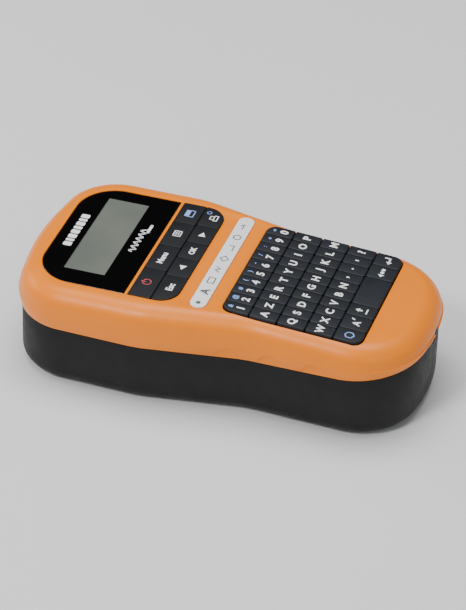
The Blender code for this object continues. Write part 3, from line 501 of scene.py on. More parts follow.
def addNode(tree, kind, **inputs):
    # keyword names are socket names with their spaces taken out
    node = tree.nodes.new("GeometryNode" + kind)
    for label, value in inputs.items():
        socket = next(s for s in node.inputs if s.name.replace(" ", "") == label and s.enabled)
        if isinstance(value, bpy.types.NodeSocket):
            tree.links.new(value, socket)
        else:
            socket.default_value = value
    return node


def endTree(tree, parts, finish):
    joined = tree.nodes.new("GeometryNodeJoinGeometry")
    for part in parts:
        tree.links.new(part, joined.inputs[0])
    real = addNode(tree, "RealizeInstances", Geometry=joined.outputs[0])
    painted = addNode(tree, "SetMaterial", Geometry=real.outputs[0], Material=finish)
    tree.links.new(painted.outputs[0], tree.nodes.new("NodeGroupOutput").inputs[0])


def lineTree():
    # copies of one shape in a straight line, joined to what the object already holds
    sockets = (
        ("Geometry", "Geometry"), ("Shape", "Object"), ("Count", "Int"), ("Start", "Vector"),
        ("Step", "Vector"), ("Turn", "Vector"), ("Finish", "Material"),
    )
    tree, given = startTree("copiesInLine", sockets)
    line = addNode(
        tree, "MeshLine", Count=given["Count"], StartLocation=given["Start"], Offset=given["Step"]
    )
    shape = addNode(tree, "ObjectInfo", Object=given["Shape"])
    copies = addNode(
        tree, "InstanceOnPoints", Points=line.outputs[0], Instance=shape.outputs["Geometry"],
        Rotation=given["Turn"],
    )
    endTree(tree, (given["Geometry"], copies.outputs[0]), given["Finish"])
    return tree


def spotsTree():
    # copies of one shape at the object's own points, each turned about Z by its point's heading
    sockets = (("Geometry", "Geometry"), ("Shape", "Object"), ("Finish", "Material"))
    tree, given = startTree("copiesAtSpots", sockets)
    shape = addNode(tree, "ObjectInfo", Object=given["Shape"])
    heading = addNode(tree, "InputNamedAttribute", Name="heading")
    turn = tree.nodes.new("ShaderNodeCombineXYZ")
    tree.links.new(heading.outputs["Attribute"], turn.inputs["Z"])
    copies = addNode(
        tree, "InstanceOnPoints", Points=given["Geometry"], Instance=shape.outputs["Geometry"],
        Rotation=turn.outputs[0],
    )
    endTree(tree, (copies.outputs[0],), given["Finish"])
    return tree


def springTree():
    # a conical wire spring at each of the object's own points, all turned the same way
    sockets = (
        ("Geometry", "Geometry"), ("Turns", "Float"), ("Wide", "Float"), ("Narrow", "Float"),
        ("Height", "Float"), ("Wire", "Float"), ("Turn", "Vector"), ("Finish", "Material"),
    )
    tree, given = startTree("springsAtSpots", sockets)
    coil = addNode(
        tree, "CurveSpiral", Resolution=18, Rotations=given["Turns"], StartRadius=given["Wide"],
        EndRadius=given["Narrow"], Height=given["Height"],
    )
    wire = addNode(tree, "CurvePrimitiveCircle", Resolution=8, Radius=given["Wire"])
    solid = addNode(tree, "CurveToMesh", Curve=coil.outputs[0], ProfileCurve=wire.outputs[0], FillCaps=True)
    copies = addNode(
        tree, "InstanceOnPoints", Points=given["Geometry"], Instance=solid.outputs[0],
        Rotation=given["Turn"],
    )
    endTree(tree, (copies.outputs[0],), given["Finish"])
    return tree


def runTree(name, tree, values, points=(), headings=(), start=None, angle=35.0):
    # start is an object whose mesh goes in first; otherwise the points do, in metres
    if start is None:
        mesh = bpy.data.meshes.new(name)
        mesh.from_pydata(list(points), [], [])
        if headings:
            mesh.attributes.new("heading", "FLOAT", "POINT").data.foreach_set("value", headings)
        start = bpy.data.objects.new(name, mesh)
        bpy.context.scene.collection.objects.link(start)
    start.name = name
    modifier = start.modifiers.new("nodes", "NODES")
    modifier.node_group = tree
    for item in tree.interface.items_tree:
        if item.in_out == "INPUT" and item.name in values:
            modifier[item.identifier] = values[item.name]
    applyModifiers(start)
    smoothByAngle(start.data, angle)
    return start


def takeAway(shape):
    bpy.data.objects.remove(shape, do_unlink=True)


inLine, atSpots, springsAtSpots = lineTree(), spotsTree(), springTree()
print("node trees made")


# The face: keys, function pad, window and strip, in millimetres.
faceSizes = {
    "columns": 10,
    "rows": 5,
    "pitchX": 7.45,
    "pitchY": 14.1,
    "margin": 0.4,
    "topY": -5.8,
    "keyCorner": 5.0,
    "panelHalf": 41.5,
    "splitY": 41.4,
    "splitWidth": 1.4,
    "padDepth": 24.0,
    "padCorner": 10.5,
    "windowLength": 49.0,
    "windowCorner": 20.0,
    "lens": 1.2,
    "ledge": 2.5,
    "stripHalf": 40.0,
    "stripY": 6.0,
    "stripLength": 8.8,
    "stripDepth": 0.8,
    "cutFrom": 30.0,
    "cutTo": 62.0,
}
keyboardHalf = faceSizes["columns"] * faceSizes["pitchX"] / 2
keyboardFoot = faceSizes["topY"] - faceSizes["rows"] * faceSizes["pitchY"]
padTop = faceSizes["splitY"] - faceSizes["splitWidth"] / 2
windowMiddle = padTop + faceSizes["splitWidth"] + faceSizes["windowLength"] / 2


def boxOf(node):
    return [tuple(value / mm for value in corner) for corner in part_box(node)]


def middleOf(node, axis):
    low, high = boxOf(node)
    return (low[axis] + high[axis]) / 2


# Radii of the power socket's parts and how far they reach along its axis.
socketSizes = {
    "notch": 5.4,
    "hole": 3.7,
    "collar": 5.25,
    "collarBore": 3.45,
    "collarFrom": 0.15,
    "collarTo": 2.6,
    "sleeve": 3.05,
    "bore": 2.72,
    "sleeveFrom": -0.15,
    "sleeveTo": 7.0,
    "pin": 1.0,
    "pinTip": 0.5,
    "pinFrom": 0.2,
    "pinShoulder": 0.9,
    "pinTo": 8.5,
    "cutFrom": -6.0,
    "cutTo": 14.0,
}


def jackFrame(depth=0.0):
    # Z points into the body through the socket's mouth
    place = (middleOf("dc_jack", 0), -bodyLength / 2 + depth, middleOf("dc_jack", 2))
    return Matrix.Translation(place) @ Matrix.Rotation(-math.pi / 2, 4, "X")


def windowOutline(grow=0.0):
    half, reach = faceSizes["panelHalf"] + grow, faceSizes["windowLength"] / 2 + grow
    radius = faceSizes["windowCorner"] + grow
    corners = [(-half, -reach, 0.3), (half, -reach, 0.3), (half, reach, radius), (-half, reach, radius)]
    return roundedOutline(corners, 16)


def stripOutline(grow=0.0):
    half, middle = faceSizes["stripHalf"] + grow, faceSizes["stripLength"] / 2 + grow
    return rectangle(-half, half, -middle, middle, middle * 0.97, 12)


def shellPiece(name, outerLevels, innerLevels, finish):
    # a hollow shell from (inset, height function) levels that start at the open rim
    outline = bodyOutline()
    builder = bmesh.new()
    rims = []
    for levels in (outerLevels, innerLevels):
        rings = []
        for distance, height in levels:
            rings.append(ring(builder, [(x, y, height(y)) for x, y in inset(outline, distance)]))
        for first, second in zip(rings, rings[1:]):
            bridge(builder, first, second)
        ladderCap(builder, rings[-1])
        rims.append(rings[0])
    bridge(builder, rims[0], rims[1])
    return finishPiece(name, builder, finish)


def filletLevels(firstInset, radius, surface, steps):
    levels = []
    for step in range(steps + 1):
        turn = math.pi / 2 * step / steps
        drop = radius * (1 - math.sin(turn))
        distance = firstInset + abs(radius) * (1 - math.cos(turn))
        levels.append((distance, lambda y, drop=drop: surface(y) - drop))
    return levels


# Three shallow finger grips low on each side of the skirt.
gripSizes = {
    "firstY": -12.0,
    "step": -22.0,
    "count": 3,
    "half": 6.6,
    "rise": 6.2,
    "sill": 3.0,
    "deep": 1.35,
    "reach": 4.0,
}


def gripCutters():
    # each arch's plane stands upright along the side wall, facing out
    g = gripSizes
    turns = [math.pi * step / 20 for step in range(21)]
    arch = [(g["half"] * math.cos(a), g["rise"] * math.sin(a)) for a in turns]
    arch += [(-g["half"], -g["sill"]), (g["half"], -g["sill"])]
    cutters = []
    for index in range(g["count"]):
        y = g["firstY"] + index * g["step"]
        x, heading = sideAt(g["deep"], y, 1.0)
        for way in (1, -1):
            upright = Matrix(((0, 0, way), (way, 0, 0), (0, 1, 0))).to_4x4()
            place = Matrix.Translation((way * x, y, partingZ(y)))
            place = place @ Matrix.Rotation(way * heading, 4, "Z") @ upright
            cutters.append((arch, 0, g["reach"], place))
    return cutters


def makeFrontShell():
    s = bodySizes
    skirt = [(s["tuck"] + s["rimEase"], partingZ)]
    for step in range(9):
        share = 0.05 + 0.95 * step / 8  # up the skirt, starting just above the eased rim
        skirt.append((s["tuck"] * (1 - share) ** 2, lambda y, share=share: skirtZ(y, share)))
    outer = skirt + filletLevels(s["draft"], s["topFillet"], faceZ, 14)
    inner = [(s["tuck"] + s["wall"], partingZ), (s["wall"], lambda y: skirtZ(y, 1.0))]
    under = s["topFillet"] - s["wall"]
    inner += filletLevels(s["draft"] + s["wall"], under, lambda y: faceZ(y) - s["wall"], 4)
    obj = shellPiece("frontShell", outer, inner, "orangeShell")
    half, margin = keyboardHalf + faceSizes["margin"], faceSizes["margin"]
    keys = rectangle(
        -half, half, keyboardFoot - margin, faceSizes["topY"] + margin, faceSizes["keyCorner"], 8
    )
    panel, foot, round_ = faceSizes["panelHalf"], padTop - faceSizes["padDepth"], faceSizes["padCorner"]
    pad = [(-panel, foot, round_), (panel, foot, round_), (panel, padTop, 0.4), (-panel, padTop, 0.4)]
    cutFrom, cutTo = faceSizes["cutFrom"], faceSizes["cutTo"]
    cutPiece(obj, [
        (keys, cutFrom, cutTo, None),
        (roundedOutline(pad, 12), cutFrom, cutTo, None),
        (windowOutline(), -faceSizes["lens"] - s["gap"], 6, onFace(0, windowMiddle)),
        (windowOutline(-faceSizes["ledge"]), -8, 6, onFace(0, windowMiddle)),
        (stripOutline(), -faceSizes["stripDepth"], 4, onFace(0, faceSizes["stripY"])),
        (circle(0, 0, socketSizes["notch"], 40), socketSizes["cutFrom"], socketSizes["cutTo"], jackFrame()),
    ] + gripCutters())
    softenEdges(obj, s["edge"])
    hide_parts("front_shell")
    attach(obj, "case")


# The tape slot in the head wall, the wells for the screws and the shallow plate recess underneath.
rearSizes = {
    "slotHalf": 2.5,
    "slotLow": 4.5,
    "slotHigh": 19.5,
    "slotDeep": 15.0,
    "wellRadius": 2.9,
    "wellDeep": 3.0,
    "plateHalf": 22.0,
    "plateFrom": 12.0,
    "plateTo": 30.0,
    "plateDeep": 0.35,
}


def makeRearShell():
    s = bodySizes
    r = rearSizes
    lip, wall, fillet = s["tuck"] + s["seamStep"], s["wall"], s["bottomFillet"]

    def rim(y):
        return partingZ(y) - s["gap"]

    outer = [(lip + s["rearRimEase"], rim), (lip, lambda y: rim(y) - 2 * s["rearRimEase"])]
    outer += filletLevels(lip, -fillet, lambda y: 0.0, 12)
    inner = [(lip + wall, rim)] + filletLevels(lip + wall, -(fillet - wall), lambda y: wall, 4)
    obj = shellPiece("rearShell", outer, inner, "blackShell")
    gap = s["gap"]
    coverLow, coverHigh = boxOf("back_cover")
    tapeX = boxOf("print_head")[1][0]
    cover = rectangle(
        coverLow[0] - gap, coverHigh[0] + gap, coverLow[1] + coverSizes["tabReach"] - gap,
        coverHigh[1] + gap, coverSizes["corner"] + gap, 8,
    )
    half = coverSizes["tabHalf"] + gap
    tab = rectangle(-half, half, coverLow[1] - gap, coverLow[1] + 5, coverSizes["tabCorner"])
    end = bodyLength / 2
    slot = rectangle(tapeX - r["slotHalf"], tapeX + r["slotHalf"], end - r["slotDeep"], end + 5, 0.8)
    plateY = coverHigh[1] + r["plateFrom"], coverHigh[1] + r["plateTo"]
    plate = rectangle(-r["plateHalf"], r["plateHalf"], *plateY, 2.0)
    lever = boxOf("cutter_lever")
    leverTo = lever[1][1] + gap
    leverFrom = leverTo - leverSizes["length"] - 2 * gap
    band = sidePoints(-2, leverFrom, leverTo) + sidePoints(5, leverFrom, leverTo)[::-1]
    cuts = [
        (cover, -1, wall + 0.5, None),
        (tab, -1, wall + 0.5, None),
        (slot, r["slotLow"], r["slotHigh"], None),
        (circle(0, 0, socketSizes["hole"], 40), socketSizes["cutFrom"], socketSizes["cutTo"], jackFrame()),
        (band, lever[0][2] - gap, lever[1][2] + gap, None),
        (plate, -1, r["plateDeep"], None),
    ]
    for screw in screwNodes:
        spot = circle(middleOf(screw, 0), middleOf(screw, 1), r["wellRadius"])
        cuts.append((spot, -1, r["wellDeep"], None))
    cutPiece(obj, cuts)
    softenEdges(obj, s["rearEdge"])
    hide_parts("rear_shell")
    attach(obj, "case")


# The back cover with its finger ribs, the lever's ribs and the case screws.
coverSizes = {
    "corner": 6.0,
    "tabHalf": 7.0,
    "tabReach": 3.0,
    "tabCorner": 0.8,
    "thick": 1.6,
    "edge": 0.35,
    "ribCount": 9,
    "ribHalf": 13.0,
    "ribStep": 2.4,
    "ribWide": 1.1,
    "ribFromFoot": 8.0,
    "ribRise": 0.32,
}
leverSizes = {
    "length": 25.0,
    "inset": 1.4,
    "ribCount": 7,
    "ribStep": 2.6,
    "ribWide": 1.1,
    "ribRise": 0.45,
    "ribRoot": 0.4,
    "ribMargin": 2.0,
}
screwSizes = {
    "headThick": 1.4,
    "tipTaper": 1.2,
    "slotDeep": 0.85,
    "slotHalf": 0.36,
    "slotShare": 0.62,
    "headings": (0.6, 1.3, 0.2, 0.9),
}
screwNodes = ("screw_1", "screw_2", "screw_3", "screw_4")
makeFrontShell()
makeRearShell()
print("shells made")


def makeBackCover():
    c = coverSizes
    low, high = boxOf("back_cover")
    under = Matrix.Translation((0, 0, low[2])) @ Matrix.Rotation(math.pi, 4, "X")
    builder = bmesh.new()
    panel = rectangle(low[0], high[0], -high[1], -low[1] - c["tabReach"], c["corner"], 8)
    addCap(builder, panel, c["thick"], c["edge"], under)
    plate = finishPiece("coverPlate", builder, "blackShell")
    builder = bmesh.new()
    tab = rectangle(-c["tabHalf"], c["tabHalf"], -low[1] - c["tabReach"] - 2, -low[1], c["tabCorner"])
    addCap(builder, tab, c["thick"], c["edge"], under)
    tongue = finishPiece("coverTongue", builder, None)
    modifier = plate.modifiers.new("tongue", "BOOLEAN")
    modifier.operation = "UNION"
    modifier.solver = "EXACT"
    modifier.object = tongue
    applyModifiers(plate)
    takeAway(tongue)
    builder = bmesh.new()
    rib = rectangle(-c["ribHalf"], c["ribHalf"], -c["ribWide"] / 2, c["ribWide"] / 2, 0.5, 4)
    addCap(builder, rib, c["ribRise"] + 0.3, 0.28)
    shape = finishPiece("coverRib", builder, None)
    piece = runTree("backCover", inLine, {
        "Shape": shape,
        "Count": c["ribCount"],
        "Start": (0.0, (low[1] + c["ribFromFoot"]) * mm, (low[2] - c["ribRise"]) * mm),
        "Step": (0.0, c["ribStep"] * mm, 0.0),
        "Turn": (math.pi, 0.0, 0.0),
        "Finish": paint["blackShell"],
    }, start=plate)
    takeAway(shape)
    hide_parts("back_cover")
    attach(piece, "cover")


def makeScrews():
    # a pan head with a cross recess, over a plain shank
    s = screwSizes
    low, high = boxOf("screw_1")
    radius = (high[0] - low[0]) / 2
    length, shank = high[2] - low[2], radius / 2
    profile = [(0, 0), (radius * 0.55, 0.0), (radius * 0.86, 0.14), (radius, 0.5), (radius, s["headThick"])]
    profile += [(shank, s["headThick"]), (shank, length - s["tipTaper"]), (0, length)]
    builder = bmesh.new()
    addTurned(builder, profile, 32)
    shape = finishPiece("screwShape", builder, None)
    arm, wide = radius * s["slotShare"], s["slotHalf"]
    cross = [rectangle(-arm, arm, -wide, wide), rectangle(-wide, wide, -arm, arm)]
    cutPiece(shape, [(outline, -1, s["slotDeep"], None) for outline in cross])
    spots = [(middleOf(node, 0) * mm, middleOf(node, 1) * mm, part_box(node)[0][2]) for node in screwNodes]
    values = {"Shape": shape, "Finish": paint["brushedSteel"]}
    piece = runTree("caseScrews", atSpots, values, spots, s["headings"])
    takeAway(shape)
    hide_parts(*screwNodes)
    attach(piece, "case")


def makeLeverRibs():
    # upright ribs at even steps along the lever's curved outer face
    s = leverSizes
    low, high = boxOf("cutter_lever")
    middle = high[1] - s["length"] / 2
    turns = [math.pi * step / 8 - math.pi / 2 for step in range(9)]
    outline = [(s["ribRise"] * math.cos(a), s["ribWide"] / 2 * math.sin(a)) for a in turns]
    outline += [(-s["ribRoot"], s["ribWide"] / 2), (-s["ribRoot"], -s["ribWide"] / 2)]
    builder = bmesh.new()
    addPrism(builder, outline, low[2] + s["ribMargin"], high[2] - s["ribMargin"])
    shape = finishPiece("leverRib", builder, None, 50)
    spots, headings = [], []
    for index in range(s["ribCount"]):
        y = middle + (index - (s["ribCount"] - 1) / 2) * s["ribStep"]
        x, heading = sideAt(s["inset"], y, 0.5)
        spots.append((x * mm, y * mm, 0.0))
        headings.append(heading)
    values = {"Shape": shape, "Finish": paint["leverOrange"]}
    piece = runTree("leverRibs", atSpots, values, spots, headings, angle=50.0)
    takeAway(shape)
    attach(piece, "cutter")


makeBackCover()
makeScrews()
makeLeverRibs()
print("cover, screws and lever ribs made")


def makeTube(name, outer, bore, low, high, matrix, finish):
    # a ring of square section about the matrix's Z
    builder = bmesh.new()
    rings = []
    for radius, z in ((outer, low), (outer, high), (bore, high), (bore, low)):
        rings.append(ring(builder, [(x, y, z) for x, y in circle(0, 0, radius, 40)], matrix))
    for first, second in zip(rings, rings[1:] + rings[:1]):
        bridge(builder, first, second)
    piece = finishPiece(name, builder, finish, 30)
    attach(piece, "case")


def makeJackParts():
    # a collar that closes the notch, a steel sleeve in the socket's mouth, and its centre pin
    s = socketSizes
    lip = bodySizes["tuck"] + bodySizes["seamStep"]
    collarFrom, collarTo = lip + s["collarFrom"], lip + s["collarTo"]
    makeTube("jackCollar", s["collar"], s["collarBore"], collarFrom, collarTo, jackFrame(), "blackShell")
    mouth = jackFrame(boxOf("dc_jack")[0][1] + bodyLength / 2)
    makeTube("jackSleeve", s["sleeve"], s["bore"], s["sleeveFrom"], s["sleeveTo"], mouth, "brushedSteel")
    profile = [(0, s["pinFrom"]), (s["pinTip"], s["pinFrom"]), (s["pin"], s["pinShoulder"])]
    profile += [(s["pin"], s["pinTo"]), (0, s["pinTo"])]
    builder = bmesh.new()
    addTurned(builder, profile, 24, mouth)
    pin = finishPiece("jackPin", builder, "brushedSteel", 30)
    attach(pin, "case")


# Cell springs: turns, radii at the plate and at the tip, height and wire radius, in millimetres.
springSizes = {
    "Turns": 2.0,
    "Wide": 3.6,
    "Narrow": 2.2,
    "Height": 0.26,
    "Wire": 0.16,
}


def makeSprings():
    # one wire spring for each cell, at its flat end, on the contact plate there
    ends = (
        ("footSprings", 1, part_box("contact_foot")[1][1], (1, 3, 5)),
        ("headSprings", -1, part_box("contact_head")[0][1], (2, 4, 6)),
    )
    for name, side, y, cells in ends:
        spots = []
        for number in cells:
            cell = f"cell_{number}"
            spots.append((middleOf(cell, 0) * mm, y, middleOf(cell, 2) * mm))
        values = {label: size * mm for label, size in springSizes.items()}
        values["Turns"] = springSizes["Turns"]
        values["Turn"] = (-side * math.pi / 2, 0.0, 0.0)
        values["Finish"] = paint["brushedSteel"]
        piece = runTree(name, springsAtSpots, values, spots)
        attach(piece, "case")


makeJackParts()
makeSprings()
print("socket sleeve and cell springs made")


def textShape(words, size, bold=0.0, squeeze=1.0):
    # flat outline mesh of the words, centred, as (points, faces) in millimetres
    curve = bpy.data.curves.new("words", "FONT")
    curve.body = words
    curve.size = size
    curve.offset = bold
    curve.resolution_u = 3
    obj = bpy.data.objects.new("words", curve)
    bpy.context.scene.collection.objects.link(obj)
    bpy.context.view_layer.update()
    mesh = bpy.data.meshes.new_from_object(obj.evaluated_get(bpy.context.evaluated_depsgraph_get()))
    points = [(v.co.x * squeeze, v.co.y) for v in mesh.vertices]
    faces = [tuple(polygon.vertices) for polygon in mesh.polygons]
    bpy.data.objects.remove(obj, do_unlink=True)
    bpy.data.meshes.remove(mesh)
    xs, ys = [p[0] for p in points], [p[1] for p in points]
    midX, midY = (min(xs) + max(xs)) / 2, (min(ys) + max(ys)) / 2
    return [(x - midX, y - midY) for x, y in points], faces


def polygonShape(*outlines):
    points, faces = [], []
    for outline in outlines:
        faces.append(tuple(range(len(points), len(points) + len(outline))))
        points += list(outline)
    return points, faces


def strokeShape(path, width, closed=False):
    # a line of even width along the path, with round joins
    points, faces = [], []
    ends = list(zip(path, path[1:] + path[:1])) if closed else list(zip(path, path[1:]))
    for (x0, y0), (x1, y1) in ends:
        along = Vector((x1 - x0, y1 - y0)).normalized()
        side = Vector((-along.y, along.x)) * width / 2
        first = len(points)
        points += [(x0 - side.x, y0 - side.y), (x1 - side.x, y1 - side.y)]
        points += [(x1 + side.x, y1 + side.y), (x0 + side.x, y0 + side.y)]
        faces.append((first, first + 1, first + 2, first + 3))
    for x, y in path:
        faces.append(tuple(range(len(points), len(points) + 10)))
        points += circle(x, y, width / 2, 10)
    return points, faces


def joinShapes(*shapes):
    points, faces = [], []
    for (x, y), (shapePoints, shapeFaces) in shapes:
        first = len(points)
        points += [(px + x, py + y) for px, py in shapePoints]
        faces += [tuple(index + first for index in face) for face in shapeFaces]
    return points, faces


def scaleShape(shape, size):
    return [(x * size, y * size) for x, y in shape[0]], shape[1]


def polygonRing(count, radius, turn=0.0):
    turns = [turn + 2 * math.pi * step / count for step in range(count)]
    return [(radius * math.cos(a), radius * math.sin(a)) for a in turns]


def printPiece(name, body, finish, stamps, lift=0.03):
    # stamps is a list of (shape, matrix); each print is a thin skin just above its surface
    builder = bmesh.new()
    for (points, faces), matrix in stamps:
        verts = [builder.verts.new(matrix @ Vector((x, y, lift))) for x, y in points]
        outward = matrix.to_3x3() @ Vector((0, 0, 1))
        for face in faces:
            made = builder.faces.new([verts[index] for index in face])
            made.normal_update()
            if made.normal.dot(outward) < 0:
                made.normal_flip()
    bmesh.ops.scale(builder, vec=(mm, mm, mm), verts=builder.verts)
    mesh = bpy.data.meshes.new(name)
    builder.to_mesh(mesh)
    builder.free()
    mesh.materials.append(paint[finish])
    obj = bpy.data.objects.new(name, mesh)
    bpy.context.scene.collection.objects.link(obj)
    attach(obj, body)


# Letter keys: sizes in millimetres, and the legends of each row from the head end down.
keySizes = {
    "split": 0.3,
    "proud": 1.0,
    "capDeep": 3.4,
    "bottomCapDeep": 4.2,
    "webFrom": -4.2,
    "webTo": -2.4,
    "edge": 0.5,
    "corner": 0.95,
    "letter": 5.5,
    "letterBold": 0.19,
    "symbol": 3.3,
    "symbolBold": 0.08,
    "symbolRise": 3.1,
    "digitDrop": -1.9,
    "letterRise": 0.2,
}
legendRows = ("1234567890", "AZERTYUIOP", "QSDFGHJKLM", "WXCVBN,.'?")
digitSymbols = ("&", "@", "#", "(", ")", "-", "/", ":", "+", "=")


def keyOutline(x0, x1, y0, y1, big):
    # big names the corners, as (left or right, foot or head), that follow the opening's corner
    corners = []
    for x, y, name in ((x0, y0, "lf"), (x1, y0, "rf"), (x1, y1, "rh"), (x0, y1, "lh")):
        corners.append((x, y, big[1] if name in big[0] else keySizes["corner"]))
    return roundedOutline(corners, 5)


def makeLetterRows():
    k = keySizes
    half, split, pitch = keyboardHalf, k["split"] / 2, faceSizes["pitchX"]
    reach = faceSizes["pitchY"] / 2 - split
    middle = pitch / 2 - split
    bigCorner = faceSizes["keyCorner"] - split
    builder = bmesh.new()
    addCap(builder, keyOutline(-middle, middle, -reach, reach, ((), 0)), k["capDeep"], k["edge"])
    cap = finishPiece("plainCap", builder, None, 30)
    for row, letters in enumerate(legendRows):
        body = f"key_row_{row + 1}"
        y = faceSizes["topY"] - (row + 0.5) * faceSizes["pitchY"]
        matrix = onFace(0, y, k["proud"])
        builder = bmesh.new()
        web = rectangle(-half + 2, half - 2, -reach + 1, reach - 1)
        addPrism(builder, web, k["webFrom"], k["webTo"], matrix)
        ends = 1 if row == 0 else 0  # the first row's end caps follow the opening's corners
        if ends:
            for x, name in ((-half + pitch / 2, "lh"), (half - pitch / 2, "rh")):
                outline = keyOutline(x - middle, x + middle, -reach, reach, ((name,), bigCorner))
                addCap(builder, outline, k["capDeep"], k["edge"], matrix)
        web = finishPiece("rowWeb", builder, None, 30)
        start = matrix @ Vector((-half + (ends + 0.5) * pitch, 0, 0))
        obj = runTree(f"letterKeys{row + 1}", inLine, {
            "Shape": cap,
            "Count": faceSizes["columns"] - 2 * ends,
            "Start": tuple(start * mm),
            "Step": (pitch * mm, 0.0, 0.0),
            "Turn": (faceTilt(y), 0.0, 0.0),
            "Finish": paint["keySlate"],
        }, start=web)
        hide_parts(body)
        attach(obj, body)
        stamps, smallStamps = [], []
        for column, letter in enumerate(letters):
            x = -half + (column + 0.5) * pitch
            rise = k["digitDrop"] if row == 0 else k["letterRise"]
            sign = textShape(letter, k["letter"], k["letterBold"])
            stamps.append((sign, matrix @ Matrix.Translation((x, rise, 0))))
            if row == 0:
                sign = textShape(digitSymbols[column], k["symbol"], k["symbolBold"])
                smallStamps.append((sign, matrix @ Matrix.Translation((x, k["symbolRise"], 0))))
        printPiece(f"letterPrints{row + 1}", body, "printWhite", stamps)
        if smallStamps:
            printPiece("digitPrints", body, "printBlue", smallStamps)
    takeAway(cap)


# The bottom row: where each key ends, in key pitches, and its legend.
bottomEdges = (0.0, 1.3, 2.8, 4.05, 7.15, 8.6, 10.0)


def bottomShapes():
    # each key's node, its sign drawn in millimetres about the key's middle, and the sign's finish
    head = polygonShape([(-1.5, 1.4), (1.5, 1.4), (0, 3.3)])
    stem = polygonShape([(-0.5, -0.2), (0.5, -0.2), (0.5, 1.6), (-0.5, 1.6)])
    bar = strokeShape([(-1.7, -2.4), (1.7, -2.4)], 0.75)
    shift = joinShapes(((0, 0), head), ((0, 0), stem), ((0, 0), bar))
    point = polygonShape([(-1.6, -1.6), (-1.6, 1.6), (-3.7, 0)])
    dots = polygonShape(circle(0.1, 0, 1.0, 20), circle(2.4, 0, 1.0, 20))
    back = joinShapes(((0, 0), point), ((0, 0), dots))
    tip = polygonShape([(-1.0, -2.1), (-1.0, 0.9), (-3.0, -0.6)])
    enter = joinShapes(((0, 0), tip), ((0, 0), strokeShape([(-1.0, -0.6), (1.9, -0.6), (1.9, 1.9)], 0.9)))
    tick = polygonShape([(1.7, 1.0), (2.4, 1.0), (3.3, 2.8), (2.4, 2.8)])
    accent = joinShapes(((-0.5, -0.4), textShape("A", 5.0, 0.17)), ((0, 0), tick))
    return (
        ("key_symbol", strokeShape(polygonRing(6, 2.3, math.pi / 2), 0.6, True), "printBlue"),
        ("key_accent", accent, "printWhite"),
        ("key_shift", shift, "printWhite"),
        ("key_space", None, None),
        ("key_erase", back, "printWhite"),
        ("key_enter", enter, "printWhite"),
    )


def makeBottomKeys():
    k = keySizes
    half, split = keyboardHalf, k["split"] / 2
    reach = faceSizes["pitchY"] / 2 - split
    matrix = onFace(0, keyboardFoot + faceSizes["pitchY"] / 2, k["proud"])
    bigCorner = faceSizes["keyCorner"] - split
    for index, (node, shape, finish) in enumerate(bottomShapes()):
        x0 = -half + bottomEdges[index] * faceSizes["pitchX"] + split
        x1 = -half + bottomEdges[index + 1] * faceSizes["pitchX"] - split
        big = {0: ("lf",), 5: ("rf",)}.get(index, ())
        builder = bmesh.new()
        outline = keyOutline(x0, x1, -reach, reach, (big, bigCorner))
        addCap(builder, outline, k["bottomCapDeep"], k["edge"], matrix)
        plain = node.replace("key_", "")
        obj = finishPiece(f"{plain}Key", builder, "keySlate", 30)
        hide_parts(node)
        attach(obj, node)
        if shape:
            spot = matrix @ Matrix.Translation(((x0 + x1) / 2, 0, 0))
            printPiece(f"{plain}Print", node, finish, [(shape, spot)])


makeLetterRows()
makeBottomKeys()
print("letter keys made")

# Function keys: gap, height over the face, and where each row's keys end as shares of its width.
padSizes = {
    "gap": 0.2,
    "proud": 0.4,
    "capDeep": 3.6,
    "edge": 0.3,
    "line": 0.55,
    "headShares": (0.0, 0.29, 0.54, 0.79, 1.0),
    "footShares": (0.0, 0.26, 0.45, 0.62, 0.80, 1.0),
    "headNodes": ("key_power", "key_menu", "key_template", "key_label"),
    "footNodes": ("key_escape", "key_left", "key_ok", "key_right", "key_print"),
}


def padShapes():
    # each legend with its finish and its place from the key's middle
    line = padSizes["line"]
    turns = [math.radians(35 + 290 * step / 20) for step in range(21)]
    powerRing = strokeShape([(2.1 * math.sin(a), 2.1 * math.cos(a)) for a in turns], line)
    power = joinShapes(((0, 0), powerRing), ((0, 0), strokeShape([(0, 0.6), (0, 2.7)], line)))
    rule = strokeShape([(-1.2, 0), (1.2, 0)], line)
    page = strokeShape([(-2.2, -1.8), (2.2, -1.8), (2.2, 1.8), (-2.2, 1.8)], line, True)
    template = joinShapes(((0, 0), page), ((0, 0.6), rule), ((0, -0.6), rule))
    sheet = polygonShape([(-2.7, -0.1), (2.7, -0.1), (2.7, 2.3), (-2.7, 2.3)])
    tray = strokeShape([(-2.7, 0.6), (-2.7, -2.1), (2.7, -2.1), (2.7, 0.6)], line)
    box = strokeShape([(-2.1, -0.9), (2.1, -0.9), (2.1, 0.9), (-2.1, 0.9)], line, True)
    paper = strokeShape([(-1.3, -0.8), (-1.3, 0.9), (1.3, 0.9), (1.3, -0.8)], line)
    return {
        "key_power": (power, "printRed", (0.4, 0.2)),
        "key_menu": (textShape("Menu", 4.4, 0.15, 0.95), "printWhite", (-0.6, 0)),
        "key_template": (template, "printWhite", (0.6, 0)),
        "key_label": (joinShapes(((0, 0), sheet), ((0, 0), tray)), "printBlue", (0, 0)),
        "key_escape": (textShape("Esc", 4.7, 0.16, 0.95), "printWhite", (1.4, 0)),
        "key_left": (polygonShape([(-2.0, 0), (1.6, -1.9), (1.6, 1.9)]), "printWhite", (0, 0)),
        "key_ok": (textShape("OK", 4.1, 0.17, 0.95), "printWhite", (0, 0)),
        "key_right": (polygonShape([(-1.6, -1.9), (2.0, 0), (-1.6, 1.9)]), "printWhite", (0, 0)),
        "key_print": (joinShapes(((0, -1.0), box), ((0, 1.0), paper)), "printWhite", (-0.4, -0.6)),
    }


